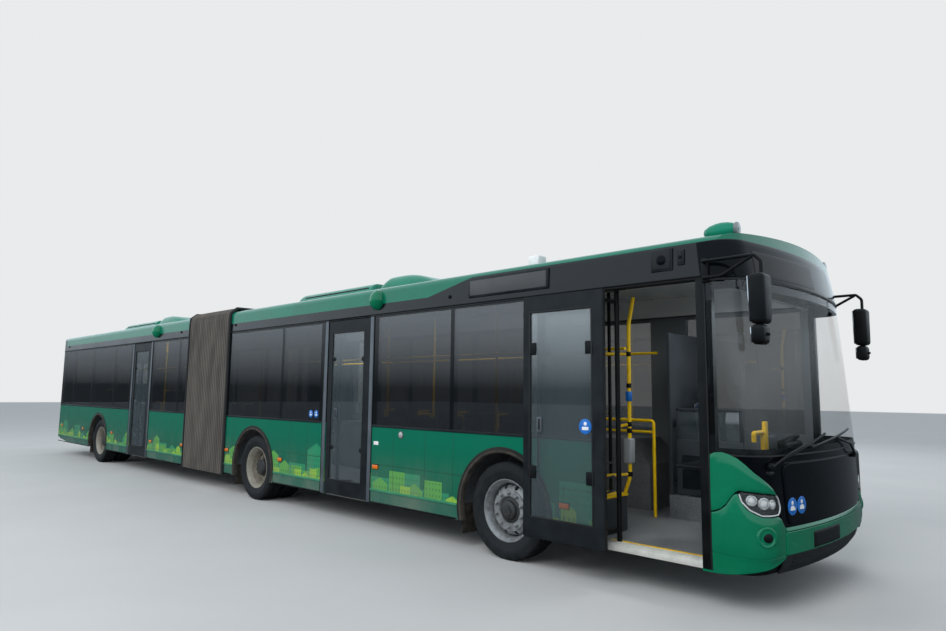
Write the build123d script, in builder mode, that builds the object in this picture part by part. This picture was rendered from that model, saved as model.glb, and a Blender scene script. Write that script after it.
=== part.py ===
from build123d import *
import os
from math import atan2, cos, degrees, hypot, radians, sin, sqrt

# Articulated city bus, 18 m, with an open front door.
# Millimetres. +X is forward, +Y is to the driver's side, +Z is up.
# The doors are on the -Y side. The origin is on the ground at mid length.

# Lengths along the bus
front_overhang = 2700.0
wheelbase_front = 5040.0
wheelbase_rear = 7100.0
rear_overhang = 3160.0

# Body
body_width = 2550.0
skirt_z = 312.0
belt_z = 1240.0
window_top_z = 2545.0
rail_z = 2580.0
roof_shoulder_z = 2850.0
roof_edge_z = 2925.0
roof_crown_z = 2975.0
ceiling_z = 2780.0
floor_top_z = 360.0
floor_thickness = 60.0
rail_bottom_z = 220.0
wall = 60.0
glass = 12.0
hair = 0.3
window_post = 60.0

# Running gear
tyre_radius = 476.0
tyre_width = 275.0
rim_radius = 298.0
outer_tyre_inset = 190.0
twin_spacing = 312.0
kingpin_inset = 155.0
arch_radius = 572.0
flare_width = 52.0
flare_proud = 9.0
spindle_radius = 45.0
bearing_gap = 0.4
wheel_sides = 36

# Articulation
joint_behind_axle = 934.0
half_bellows = 765.0
turntable_radius = 640.0
hoop_depth = 60.0

# Doors
leaf_width = 890.0
leaf_thickness = 45.0
leaf_bottom = 325.0
leaf_top = 2560.0
gap_rear = 20.0
gap_front = 10.0
door_travel = 790.0
door_offset = 127.0
column_inset_y = 140.0
column_radius = 22.0
column_inset = 100.0
pivot_drop = -50.0
arm_thickness = 26.0
arm_levels = (450.0, 2455.0)

# Worked-out places
nose_x = (front_overhang + wheelbase_front + wheelbase_rear + rear_overhang) / 2
tail_x = -nose_x
half_width = body_width / 2
inner_y = half_width - wall
beyond_y = half_width + 150
front_axle_x = nose_x - front_overhang
middle_axle_x = front_axle_x - wheelbase_front
rear_axle_x = middle_axle_x - wheelbase_rear
wheel_z = tyre_radius
outer_tyre_y = half_width - outer_tyre_inset
kingpin_y = outer_tyre_y - kingpin_inset
twin_inner_face = outer_tyre_y - twin_spacing - tyre_width / 2
front_section_end = middle_axle_x - joint_behind_axle
pivot_x = front_section_end - half_bellows
rear_section_start = pivot_x - half_bellows
mask_back_x = nose_x - 560
pillar_depth = 60.0
rear_shell_x = tail_x + 300
rear_face_x = tail_x + 10
floor_bottom_z = floor_top_z - floor_thickness
column_y = -half_width + column_inset_y

os.makedirs("parts", exist_ok=True)


def block(x0, x1, y0, y1, z0, z1, mode=Mode.ADD):
    """A box between two corners, in the part being built."""
    with Locations(((x0 + x1) / 2, (y0 + y1) / 2, (z0 + z1) / 2)):
        Box(abs(x1 - x0), abs(y1 - y0), abs(z1 - z0), mode=mode)


def rod_y(x, z, y0, y1, radius, mode=Mode.ADD):
    """A round bar along Y."""
    with Locations(Location((x, (y0 + y1) / 2, z), (90, 0, 0))):
        Cylinder(radius, abs(y1 - y0), mode=mode)


def post(x, y, z0, z1, radius, mode=Mode.ADD):
    """An upright round bar."""
    with Locations((x, y, (z0 + z1) / 2)):
        Cylinder(radius, z1 - z0, mode=mode)


# Front end: plan outlines at five heights, joined by flat bands
# columns: height z, setback of the centre line from the tip of the nose
front_levels = (
    (293.0, 75.0),
    (450.0, 0.0),
    (1130.0, 20.0),
    (2540.0, 125.0),
    (3000.0, 205.0),
)
nose_sagitta = 165.0
corner_radius = 230.0
mask_top_z = front_levels[2][0]
header_z = front_levels[3][0]
nose_radius = (half_width ** 2 + nose_sagitta ** 2) / (2 * nose_sagitta)
corner_centre_y = half_width - corner_radius
corner_centre_x = nose_x - nose_radius + sqrt((nose_radius - corner_radius) ** 2 - corner_centre_y ** 2)


def nose_solid(first, last, inset, back_x):
    """The front end between two of the levels, drawn in by inset."""
    side = half_width - inset
    with BuildPart() as nose:
        for z, setback in front_levels[first:last + 1]:
            tip_x = nose_x - setback
            shoulder_x = tip_x - nose_sagitta - inset
            with BuildSketch(Plane.XY.offset(z)) as outline:
                with BuildLine():
                    Polyline((shoulder_x, side), (back_x, side), (back_x, -side), (shoulder_x, -side))
                    ThreePointArc((shoulder_x, -side), (tip_x - inset, 0), (shoulder_x, side))
                make_face()
                fillet(outline.vertices().group_by(Axis.X)[-1], corner_radius - inset)
        loft(ruled=True)
    return nose.part


def roof_solid(x0, x1):
    """The body's outer section from the side rail up, between two stations."""
    shoulder_y = half_width - 8
    edge_y = half_width - 90
    with BuildPart() as hull:
        with BuildSketch(Plane.YZ.offset(x0)):
            with BuildLine():
                Polyline((-shoulder_y, roof_shoulder_z), (-half_width, rail_z),
                         (half_width, rail_z), (shoulder_y, roof_shoulder_z))
                TangentArc((shoulder_y, roof_shoulder_z), (edge_y, roof_edge_z),
                           tangent=(shoulder_y - half_width, roof_shoulder_z - rail_z))
                ThreePointArc((edge_y, roof_edge_z), (0, roof_crown_z), (-edge_y, roof_edge_z))
                TangentArc((-shoulder_y, roof_shoulder_z), (-edge_y, roof_edge_z),
                           tangent=(half_width - shoulder_y, roof_shoulder_z - rail_z))
            make_face()
        extrude(amount=x1 - x0)
    return hull.part


duct_width = 225.0
duct_slope = 120.0


def ceiling_solid(x0, x1):
    """The space below the ceiling, between the door gear boxes of both sides."""
    low_y = half_width - duct_width
    high_y = low_y - duct_slope
    with BuildPart() as space:
        with BuildSketch(Plane.YZ.offset(x0)):
            Polygon((-low_y, rail_z), (low_y, rail_z), (high_y, ceiling_z), (-high_y, ceiling_z), align=None)
        extrude(amount=x1 - x0)
    return space.part


def arch_form(x, radius, y0, y1, mode):
    """A wheel arch: a half round over straight legs, through the side."""
    with BuildSketch(Plane.XZ.offset(-y1)) as arch:
        with Locations((x, wheel_z)):
            Circle(radius)
        with Locations((x, wheel_z - 300)):
            Rectangle(2 * radius, 600)
    extrude(arch.sketch, amount=y1 - y0, mode=mode)


# Doorways: name to rear edge of the doorway
doorway_width = leaf_width + gap_rear + gap_front
door_rear_edges = {
    "front": mask_back_x - 70 - doorway_width,
    "middle": middle_axle_x + 1922,
    "rear": rear_axle_x + 1930,
}


def doorway(name):
    return door_rear_edges[name], door_rear_edges[name] + doorway_width


def window_run(rear, front, count):
    """Equal windows between two places, with a post between each two."""
    width = (front - rear - (count - 1) * window_post) / count
    starts = [rear + index * (width + window_post) for index in range(count)]
    return tuple((start, start + width) for start in starts)


# Side windows: rear edge, front edge
windows_front_right = (
    (middle_axle_x - 860, middle_axle_x + 740),
    (middle_axle_x + 800, door_rear_edges["middle"] - 162),
    (doorway("middle")[1] + 168, front_axle_x - 760),
    (front_axle_x - 700, door_rear_edges["front"] - 120),
)
windows_front_left = (
    (middle_axle_x - 860, middle_axle_x + 640),
    *window_run(middle_axle_x + 700, front_axle_x + 280, 3),
    (mask_back_x - 1390, mask_back_x - 80),
)
windows_rear_right = (
    (rear_section_start - 366, rear_section_start - 56),
    (doorway("rear")[1] + 190, rear_section_start - 446),
    (rear_axle_x + 870, door_rear_edges["rear"] - 180),
    (rear_axle_x - 610, rear_axle_x + 790),
    (tail_x + 1140, rear_axle_x - 690),
    (tail_x + 360, tail_x + 1060),
)
windows_rear_left = (
    (rear_section_start - 366, rear_section_start - 56),
    *window_run(tail_x + 360, rear_section_start - 446, 5),
)


def side_wall(x0, x1, side, windows, doors, axles):
    """One side of a section: a panel with flared arches, cut for its windows, doorways and wheels."""
    y0, y1 = sorted((side * inner_y, side * half_width))
    flare_y0, flare_y1 = sorted((side * (half_width - 20), side * (half_width + flare_proud)))
    with BuildPart() as panel:
        block(x0, x1, y0, y1, skirt_z, rail_z)
        for axle_x in axles:
            arch_form(axle_x, arch_radius + flare_width, flare_y0, flare_y1, Mode.ADD)
        for rear, front in windows:
            block(rear, front, y0, y1, belt_z, window_top_z, mode=Mode.SUBTRACT)
        for name in doors:
            rear, front = doorway(name)
            block(rear, front, y0, y1, skirt_z, rail_z, mode=Mode.SUBTRACT)
        for axle_x in axles:
            arch_form(axle_x, arch_radius, y0 - flare_proud, y1 + flare_proud, Mode.SUBTRACT)
        block(x0, x1, y0 - flare_proud, y1 + flare_proud, -200, skirt_z, mode=Mode.SUBTRACT)
    return panel.part


# Front section: sides
right_front = side_wall(front_section_end, mask_back_x, -1, windows_front_right,
                        ("front", "middle"), (front_axle_x, middle_axle_x))
with BuildPart() as front_side_right:
    add(right_front)
front_side_right.part.label = "front_side_right"
export_step(front_side_right.part, "parts/front_side_right.step")

left_front = side_wall(front_section_end, mask_back_x, 1, windows_front_left,
                       (), (front_axle_x, middle_axle_x))
with BuildPart() as front_side_left:
    add(left_front)
front_side_left.part.label = "front_side_left"
export_step(front_side_left.part, "parts/front_side_left.step")

# Rear section: sides, whose skirt rises over the last stretch
skirt_rise_start = tail_x + 1100
skirt_rise = 100.0


def rising_skirt(y0, y1):
    """The wedge that the rear skirt is cut back by."""
    with BuildSketch(Plane.XZ.offset(-y1)) as wedge:
        Polygon((skirt_rise_start, skirt_z - 50), (skirt_rise_start, skirt_z),
                (rear_face_x, skirt_z + skirt_rise), (rear_face_x, skirt_z - 50), align=None)
    extrude(wedge.sketch, amount=y1 - y0, mode=Mode.SUBTRACT)


right_rear = side_wall(rear_shell_x, rear_section_start, -1, windows_rear_right,
                       ("rear",), (rear_axle_x,))
with BuildPart() as rear_side_right:
    add(right_rear)
    rising_skirt(-half_width, -inner_y)
rear_side_right.part.label = "rear_side_right"
export_step(rear_side_right.part, "parts/rear_side_right.step")

left_rear = side_wall(rear_shell_x, rear_section_start, 1, windows_rear_left,
                      (), (rear_axle_x,))
with BuildPart() as rear_side_left:
    add(left_rear)
    rising_skirt(inner_y, half_width)
rear_side_left.part.label = "rear_side_left"
export_step(rear_side_left.part, "parts/rear_side_left.step")


def panes(tables):
    """Flush side panes, one solid for each window."""
    for side, windows in tables:
        for rear, front in windows:
            block(rear, front, side * (half_width - glass), side * half_width, belt_z, window_top_z)


with BuildPart() as front_windows:
    panes(((-1, windows_front_right), (1, windows_front_left)))
front_windows.part.label = "front_windows"
export_step(front_windows.part, "parts/front_windows.step")

# Roofs, with the door gear and air ducts boxed in along both edges
roof_front = roof_solid(front_section_end, mask_back_x)
ceiling_front = ceiling_solid(front_section_end, mask_back_x)
with BuildPart() as front_roof:
    add(roof_front)
    add(ceiling_front, mode=Mode.SUBTRACT)
front_roof.part.label = "front_roof"
export_step(front_roof.part, "parts/front_roof.step")

roof_rear = roof_solid(rear_shell_x, rear_section_start)
ceiling_rear = ceiling_solid(rear_shell_x, rear_section_start)
with BuildPart() as rear_roof:
    add(roof_rear)
    add(ceiling_rear, mode=Mode.SUBTRACT)
rear_roof.part.label = "rear_roof"
export_step(rear_roof.part, "parts/rear_roof.step")

# Front end: mask, centre panel, lamps, header with its pillars, and windscreen
# the centre panel's edge on one side: inset from the body side, height
panel_edge = (
    (282.0, 655.0), (230.0, 872.0), (195.0, 905.0),
    (123.0, 985.0), (45.0, 1070.0), (13.0, mask_top_z),
)
# one lamp's outline: inset from the body side, height
lamp_outline = ((-25.0, 930.0), (-25.0, 840.0), (17.0, 792.0), (66.0, 753.0), (197.0, 756.0),
                (212.0, 778.0), (214.0, 812.0), (182.0, 880.0), (95.0, 908.0))
lamp_back_x = nose_x - 330
ahead_x = nose_x + 100
behind_mask_x = nose_x - 400
fog_lamp_angle = 39.5
fog_lamp_z = 600.0
fog_lamp_radius = 52.0
fog_lamp_depth = 24.0

mask_outer = nose_solid(0, 2, 0, mask_back_x)
mask_inner = nose_solid(0, 2, wall, mask_back_x - 10)


def lamp_zone(side):
    """The space of one headlamp, seen from the front."""
    with BuildPart() as zone:
        with BuildSketch(Plane.YZ.offset(lamp_back_x)):
            Polygon(*[(side * (half_width - inset), z) for inset, z in lamp_outline], align=None)
        extrude(amount=ahead_x - lamp_back_x)
    return zone.part


with BuildPart() as panel_zone:
    with BuildSketch(Plane.YZ.offset(behind_mask_x)):
        right_edge = [(inset - half_width, z) for inset, z in panel_edge]
        left_edge = [(half_width - inset, z) for inset, z in reversed(panel_edge)]
        Polygon(*right_edge, *left_edge, align=None)
    extrude(amount=ahead_x - behind_mask_x)

lamp_zones = [lamp_zone(side) for side in (-1, 1)]
with BuildPart() as front_mask:
    add(mask_outer)
    add(mask_inner, mode=Mode.SUBTRACT)
    add(panel_zone.part, mode=Mode.SUBTRACT)
    for zone in lamp_zones:
        add(zone, mode=Mode.SUBTRACT)
    # fog lamp recesses in both corners
    for side in (-1, 1):
        out_x = cos(radians(fog_lamp_angle))
        out_y = side * sin(radians(fog_lamp_angle))
        spot_x = corner_centre_x + corner_radius * out_x
        spot_y = side * corner_centre_y + corner_radius * out_y
        with BuildSketch(Plane(origin=(spot_x, spot_y, fog_lamp_z), z_dir=(out_x, out_y, 0))) as fog_lamp:
            Circle(fog_lamp_radius)
        extrude(fog_lamp.sketch, amount=-fog_lamp_depth, mode=Mode.SUBTRACT)
front_mask.part.label = "front_mask"
export_step(front_mask.part, "parts/front_mask.step")

with BuildPart() as centre_panel:
    add(mask_outer)
    add(mask_inner, mode=Mode.SUBTRACT)
    add(panel_zone.part, mode=Mode.INTERSECT)
centre_panel.part.label = "centre_panel"
export_step(centre_panel.part, "parts/centre_panel.step")

with BuildPart() as headlamp_zones:
    for zone in lamp_zones:
        add(zone)
with BuildPart() as headlamps:
    add(mask_outer)
    add(mask_inner, mode=Mode.SUBTRACT)
    add(headlamp_zones.part, mode=Mode.INTERSECT)
headlamps.part.label = "headlamps"
export_step(headlamps.part, "parts/headlamps.step")

screen_outer = nose_solid(2, 3, 0, mask_back_x)
screen_inner = nose_solid(2, 3, glass, mask_back_x - 10)
with BuildPart() as windscreen:
    add(screen_outer)
    add(screen_inner, mode=Mode.SUBTRACT)
    block(mask_back_x, mask_back_x + pillar_depth, -beyond_y, beyond_y, mask_top_z, header_z,
          mode=Mode.SUBTRACT)
windscreen.part.label = "windscreen"
export_step(windscreen.part, "parts/windscreen.step")

header_outer = nose_solid(3, 4, 0, mask_back_x)
header_roof = roof_solid(mask_back_x, nose_x)
header_ceiling = ceiling_solid(mask_back_x, nose_x - 300)
sign_half_width = 850.0
sign_bottom_z = 2610.0
sign_top_z = 2860.0
sign_back_x = nose_x - 220
with BuildPart() as header_cap:
    add(header_outer)
    block(mask_back_x - 100, ahead_x, -beyond_y, beyond_y, header_z, rail_z, mode=Mode.SUBTRACT)
    add(header_roof, mode=Mode.INTERSECT)
with BuildPart() as header_lip:
    add(header_outer)
    block(mask_back_x - 100, ahead_x, -beyond_y, beyond_y, header_z, rail_z, mode=Mode.INTERSECT)
with BuildPart() as front_frame:
    add(header_cap.part)
    add(header_lip.part)
    add(header_ceiling, mode=Mode.SUBTRACT)
    block(sign_back_x, ahead_x, -sign_half_width, sign_half_width, sign_bottom_z, sign_top_z,
          mode=Mode.SUBTRACT)
    for side in (-1, 1):
        block(mask_back_x, mask_back_x + pillar_depth, side * inner_y, side * half_width,
              mask_top_z, header_z)
front_frame.part.label = "front_frame"
export_step(front_frame.part, "parts/front_frame.step")

# Destination sign behind the header's glass
with BuildPart() as destination_signs:
    add(header_outer)
    block(sign_back_x, ahead_x, -sign_half_width, sign_half_width, sign_bottom_z, sign_top_z,
          mode=Mode.INTERSECT)
destination_signs.part.label = "destination_signs"
export_step(destination_signs.part, "parts/destination_signs.step")

# Floors, with boxed wheel housings open to the outside
housing_half_length = 640.0
housing_wall = 25.0
housing_top_z = 1130.0
housing_shoulder_z = 860.0
housing_shoulder = 260.0
twin_housing_y = twin_inner_face - 75.5
steer_housing_y = kingpin_y - 430
chassis_rail_y = 420.0
rail_half = 40.0
platform_z = floor_top_z + 240
cab_rear_x = mask_back_x - 1140
cab_inner_y = 250.0
race_radius = 320.0
jacking_offset = 700.0
axle_room = 300.0
tank_rear_x = middle_axle_x + 1300
tank_length = 1000.0
lower_beam_z = 190.0
race_thickness = 40.0
lower_race_z = lower_beam_z + race_thickness
upper_beam_z = lower_race_z + 1
upper_race_z = upper_beam_z + race_thickness
beam_half = 160.0
beam_reach = 400.0
joint_pin_radius = 60.0
plate_angle = radians(52)
plate_reach_x = (turntable_radius + 5) * cos(plate_angle)
plate_reach_y = (turntable_radius + 5) * sin(plate_angle)
# columns: axle x, inner face of the housing from the centre line
front_housings = ((front_axle_x, steer_housing_y), (middle_axle_x, twin_housing_y))
rear_housings = ((rear_axle_x, twin_housing_y),)


def housing_outline(x, inset):
    half = housing_half_length - inset
    return ((x - half, floor_bottom_z - 1), (x - half, housing_shoulder_z),
            (x - half + housing_shoulder, housing_top_z - inset),
            (x + half - housing_shoulder, housing_top_z - inset),
            (x + half, housing_shoulder_z), (x + half, floor_bottom_z - 1))


def housing(x, inner, side):
    """One wheel housing on the floor being built."""
    y_far = inner_y
    y0, y1 = sorted((side * inner, side * y_far))
    with BuildSketch(Plane.XZ.offset(-y1)) as outside:
        Polygon(*housing_outline(x, 0), align=None)
    extrude(outside.sketch, amount=y1 - y0)
    y0, y1 = sorted((side * (inner + housing_wall), side * (y_far + 10)))
    with BuildSketch(Plane.XZ.offset(-y1)) as inside:
        Polygon(*housing_outline(x, housing_wall), align=None)
    extrude(inside.sketch, amount=y1 - y0, mode=Mode.SUBTRACT)


def jacking_pad(x, rail_y, rail_low_z):
    """A square pad under a chassis rail, where a jack's head bears."""
    block(x - 60, x + 60, rail_y - 60, rail_y + 60, rail_low_z - 20, rail_low_z)


with BuildPart() as front_floor:
    block(front_section_end, mask_back_x, -inner_y, inner_y, floor_bottom_z, floor_top_z)
    for axle_x, inner in front_housings:
        for side in (-1, 1):
            housing(axle_x, inner, side)
    # the driver's platform
    block(cab_rear_x, mask_back_x, cab_inner_y, inner_y, floor_top_z, platform_z)
    # rails below the floor, clear of the axles, with pads for a jack
    for rail_y in (-chassis_rail_y, chassis_rail_y):
        for x0, x1 in ((front_section_end, middle_axle_x - axle_room),
                       (middle_axle_x + axle_room, front_axle_x - axle_room),
                       (front_axle_x + axle_room, mask_back_x)):
            block(x0, x1, rail_y - rail_half, rail_y + rail_half, rail_bottom_z, floor_bottom_z)
        jacking_pad(front_axle_x - jacking_offset, rail_y, rail_bottom_z)
        jacking_pad(middle_axle_x + jacking_offset, rail_y, rail_bottom_z)
    # fuel tank and battery box between the axles, left of the walkway
    block(tank_rear_x, tank_rear_x + tank_length, chassis_rail_y + 80, inner_y - 60,
          rail_bottom_z, floor_bottom_z)
    # the plate that reaches the turntable and the beam that carries its lower race
    with BuildSketch(Plane.XY.offset(floor_bottom_z)):
        Polygon((front_section_end, -700), (front_section_end, 700),
                (pivot_x + plate_reach_x, plate_reach_y),
                (pivot_x + plate_reach_x, -plate_reach_y), align=None)
    extrude(amount=floor_thickness)
    post(pivot_x, 0, floor_bottom_z, floor_top_z, turntable_radius + 5, mode=Mode.SUBTRACT)
    beam_end_x = front_section_end + beam_reach
    block(pivot_x, beam_end_x, -beam_half, beam_half, lower_beam_z, lower_race_z)
    block(front_section_end, beam_end_x, -beam_half, beam_half, lower_race_z, floor_bottom_z)
    post(pivot_x, 0, lower_beam_z, lower_race_z, race_radius)
    post(pivot_x, 0, lower_beam_z - 40, lower_race_z, joint_pin_radius + bearing_gap, mode=Mode.SUBTRACT)
front_floor.part.label = "front_floor"
export_step(front_floor.part, "parts/front_floor.step")

# Centre hoop, with the turntable floor that it carries
hoop_top_z = 2965.0
hoop_bottom_z = 280.0
hoop_tube = 50.0
with BuildPart() as centre_hoop:
    block(pivot_x - hoop_depth / 2, pivot_x + hoop_depth / 2, -half_width, half_width,
          hoop_bottom_z, hoop_top_z)
    block(pivot_x - hoop_depth, pivot_x + hoop_depth, -half_width + hoop_tube, half_width - hoop_tube,
          hoop_bottom_z + hoop_tube, hoop_top_z - hoop_tube, mode=Mode.SUBTRACT)
    post(pivot_x, 0, 185, hoop_bottom_z + hoop_tube, joint_pin_radius)
    post(pivot_x, 0, hoop_bottom_z + hoop_tube, floor_top_z, turntable_radius)
centre_hoop.part.label = "centre_hoop"
export_step(centre_hoop.part, "parts/centre_hoop.step")

# Rear floor, raised over the axle and the engine
rear_deck_x = rear_axle_x + 890
rear_deck_z = 620.0
deck_bottom_z = rear_deck_z - floor_thickness
engine_bay_x = tail_x + 1750
engine_bay_z = 1180.0
bay_sheet = 40.0
tail_rail_bottom_z = 420.0
with BuildPart() as rear_floor:
    block(rear_deck_x, rear_section_start, -inner_y, inner_y, floor_bottom_z, floor_top_z)
    block(rear_deck_x - floor_thickness, rear_deck_x, -inner_y, inner_y, floor_bottom_z, rear_deck_z)
    block(engine_bay_x, rear_deck_x, -inner_y, inner_y, deck_bottom_z, rear_deck_z)
    for axle_x, inner in rear_housings:
        for side in (-1, 1):
            housing(axle_x, inner, side)
    # the axle tube passes below the deck, through the housings' inner walls
    block(rear_axle_x - 130, rear_axle_x + 130, -twin_housing_y - 40, twin_housing_y + 40,
          floor_bottom_z - 5, deck_bottom_z, mode=Mode.SUBTRACT)
    for rail_y in (-chassis_rail_y, chassis_rail_y):
        block(rear_deck_x - floor_thickness, rear_section_start, rail_y - rail_half, rail_y + rail_half,
              rail_bottom_z, floor_bottom_z)
        block(tail_x + 100, rear_axle_x - 560, rail_y - rail_half, rail_y + rail_half,
              tail_rail_bottom_z, deck_bottom_z)
        jacking_pad(rear_deck_x + axle_room, rail_y, rail_bottom_z)
        jacking_pad(rear_axle_x - jacking_offset, rail_y, tail_rail_bottom_z)
    # the engine's deck and bulkhead
    block(rear_shell_x, engine_bay_x + bay_sheet, -inner_y, inner_y, engine_bay_z - bay_sheet, engine_bay_z)
    block(engine_bay_x, engine_bay_x + bay_sheet, -inner_y, inner_y, deck_bottom_z, engine_bay_z)
    with BuildSketch(Plane.XY.offset(floor_bottom_z)):
        Polygon((rear_section_start, -700), (rear_section_start, 700),
                (pivot_x - plate_reach_x, plate_reach_y),
                (pivot_x - plate_reach_x, -plate_reach_y), align=None)
    extrude(amount=floor_thickness)
    post(pivot_x, 0, floor_bottom_z, floor_top_z, turntable_radius + 5, mode=Mode.SUBTRACT)
    beam_end_x = rear_section_start - beam_reach
    block(beam_end_x, pivot_x, -beam_half, beam_half, upper_beam_z, upper_race_z)
    block(beam_end_x, rear_section_start, -beam_half, beam_half, upper_race_z, floor_bottom_z)
    post(pivot_x, 0, upper_beam_z, upper_race_z, race_radius)
    post(pivot_x, 0, lower_race_z - 30, upper_race_z + 19, joint_pin_radius + bearing_gap, mode=Mode.SUBTRACT)
rear_floor.part.label = "rear_floor"
export_step(rear_floor.part, "parts/rear_floor.step")

# Bellows: pleated tubes, one each side of the hoop
pleats = 11
pleat_depth = 45.0
bellows_skin = 14.0
bellows_corner = 110.0
bellows_proud = 15.0
bellows_top_z = 2990.0
bellows_bottom_z = 290.0


def bellows_outline(x, half, top):
    """An arch section over the gangway, with cut upper corners."""
    cut = bellows_corner
    skin = bellows_skin
    miter = skin * (sqrt(2) - 1)
    bottom = bellows_bottom_z
    right_half = ((half, bottom), (half, top - cut), (half - cut, top))
    inside = ((half - cut - miter, top - skin), (half - skin, top - cut - miter), (half - skin, bottom))
    outer = [(-y, z) for y, z in right_half] + list(reversed(right_half))
    inner = list(reversed(inside)) + [(-y, z) for y, z in inside]
    with BuildSketch(Plane.YZ.offset(x)) as outline:
        Polygon(*outer, *inner, align=None)
    return outline.sketch


def bellows_solid(x0, x1):
    """The pleated arch between two frames."""
    step = (x1 - x0) / (2 * pleats)
    outlines = []
    for index in range(2 * pleats + 1):
        depth = 0 if index % 2 else pleat_depth
        outlines.append(bellows_outline(x0 + index * step, half_width + bellows_proud - depth,
                                        bellows_top_z - depth))
    with BuildPart() as form:
        loft(outlines, ruled=True)
    return form.part


bellows_spans = {
    "bellows_front": (pivot_x + hoop_depth / 2, front_section_end),
    "bellows_rear": (rear_section_start, pivot_x - hoop_depth / 2),
}
for name, (x0, x1) in bellows_spans.items():
    pleated_arch = bellows_solid(x0, x1)
    with BuildPart() as bellows:
        add(pleated_arch)
    bellows.part.label = name
    export_step(bellows.part, f"parts/{name}.step")

# Rear end: corner shell with the rear window and the engine lid's opening
lid_half_width = half_width - 325
lid_bottom_z = 640.0
lid_top_z = 1250.0
lid_thickness = 40.0
lid_gap = 6.0
hinge_radius = 6.0
hinge_z = lid_top_z + 12
pin_places_y = (-600.0, 600.0)
rear_corner = 150.0
rear_glass_bottom_z = 1480.0
rear_glass_top_z = 2350.0
rear_glass_half = half_width - 325
behind_x = tail_x - 100
lamp_inner_y = half_width - 275
lamp_outer_y = half_width - 165
louvre_length = 300.0
louvre_height = 12.0
louvre_pitch = 42.0
louvre_rows = 6


def tail_plan(inset, front_x):
    """The rear end's plan outline."""
    side = half_width - inset
    face_x = rear_face_x + inset
    with BuildSketch(Plane.XY.offset(skirt_z + skirt_rise)) as outline:
        with BuildLine():
            Polyline((face_x, side), (front_x, side), (front_x, -side), (face_x, -side), close=True)
        make_face()
        fillet(outline.vertices().group_by(Axis.X)[0], rear_corner - inset)
    return outline.sketch


tail_roof = roof_solid(tail_x - 50, rear_shell_x)
tail_outside = tail_plan(0, rear_shell_x)
tail_inside = tail_plan(wall, rear_shell_x + 10)
with BuildPart() as tail_top:
    extrude(tail_outside, amount=roof_crown_z)
    add(tail_roof, mode=Mode.INTERSECT)
with BuildPart() as rear_end:
    extrude(tail_outside, amount=rail_z - skirt_z - skirt_rise)
    add(tail_top.part)
    extrude(tail_inside, amount=ceiling_z - skirt_z - skirt_rise, mode=Mode.SUBTRACT)
    block(behind_x, tail_x + 150, -lid_half_width - lid_gap, lid_half_width + lid_gap,
          lid_bottom_z - lid_gap, hinge_z + 12, mode=Mode.SUBTRACT)
    block(behind_x, tail_x + 150, -rear_glass_half, rear_glass_half, rear_glass_bottom_z, rear_glass_top_z,
          mode=Mode.SUBTRACT)
    # bumper bar
    block(tail_x, rear_face_x, -half_width + 225, half_width - 225, skirt_z + skirt_rise, 600)
    # hinge pins and their brackets
    for pin_y in pin_places_y:
        rod_y(rear_face_x, hinge_z, pin_y - 45, pin_y + 75, hinge_radius - bearing_gap)
        block(rear_face_x - hinge_radius, rear_face_x + 30, pin_y + 45, pin_y + 75, hinge_z - 8, hinge_z + 12)
rear_end.part.label = "rear_end"
export_step(rear_end.part, "parts/rear_end.step")

with BuildPart() as rear_windows:
    panes(((-1, windows_rear_right), (1, windows_rear_left)))
    block(rear_face_x, rear_face_x + glass, -rear_glass_half, rear_glass_half,
          rear_glass_bottom_z, rear_glass_top_z)
rear_windows.part.label = "rear_windows"
export_step(rear_windows.part, "parts/rear_windows.step")

with BuildPart() as engine_lid:
    block(rear_face_x, rear_face_x + lid_thickness, -lid_half_width, lid_half_width,
          lid_bottom_z, lid_top_z)
    for pin_y in pin_places_y:
        rod_y(rear_face_x, hinge_z, pin_y - 40, pin_y + 40, hinge_radius + 3.5)
        block(rear_face_x - 4, rear_face_x + 8, pin_y - 40, pin_y + 40, lid_top_z - 2, hinge_z)
        rod_y(rear_face_x, hinge_z, pin_y - 41, pin_y + 41, hinge_radius, mode=Mode.SUBTRACT)
    # two banks of air slots
    for bank_y in (-lid_half_width + 300, lid_half_width - 300):
        for row in range(louvre_rows):
            slot_z = (lid_bottom_z + lid_top_z) / 2 + (row - (louvre_rows - 1) / 2) * louvre_pitch
            block(rear_face_x - 10, rear_face_x + lid_thickness + 10, bank_y - louvre_length / 2,
                  bank_y + louvre_length / 2, slot_z, slot_z + louvre_height, mode=Mode.SUBTRACT)
engine_lid.part.label = "engine_lid"
export_step(engine_lid.part, "parts/engine_lid.step")

# The engine block stands on the rear rails
with BuildPart() as engine:
    block(tail_x + 400, engine_bay_x - 100, -chassis_rail_y + rail_half, chassis_rail_y - rail_half, 430, 1120)
engine.part.label = "engine"
export_step(engine.part, "parts/engine.step")

# Rear lamps, stacked on both corners
with BuildPart() as rear_lamps:
    for side in (-1, 1):
        for bottom in (1330, 1600, 2400):
            block(rear_face_x - 8, rear_face_x, side * lamp_inner_y, side * lamp_outer_y, bottom, bottom + 200)
rear_lamps.part.label = "rear_lamps"
export_step(rear_lamps.part, "parts/rear_lamps.step")

# Wheels, many-sided in place of round. Both sections are (radius, distance outwards from the tyre's middle)
hub_bore = spindle_radius + bearing_gap
flange_y = 112.0
lip = 12.0
tread_half = tyre_width / 2
bead_top = rim_radius + 62
tyre_outside = (
    (bead_top, -tread_half), (tyre_radius - 58, -tread_half + 3), (tyre_radius, -tread_half + 24),
    (tyre_radius, tread_half - 24), (tyre_radius - 58, tread_half - 3), (bead_top, tread_half),
)
bead_inset = 25.0


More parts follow.
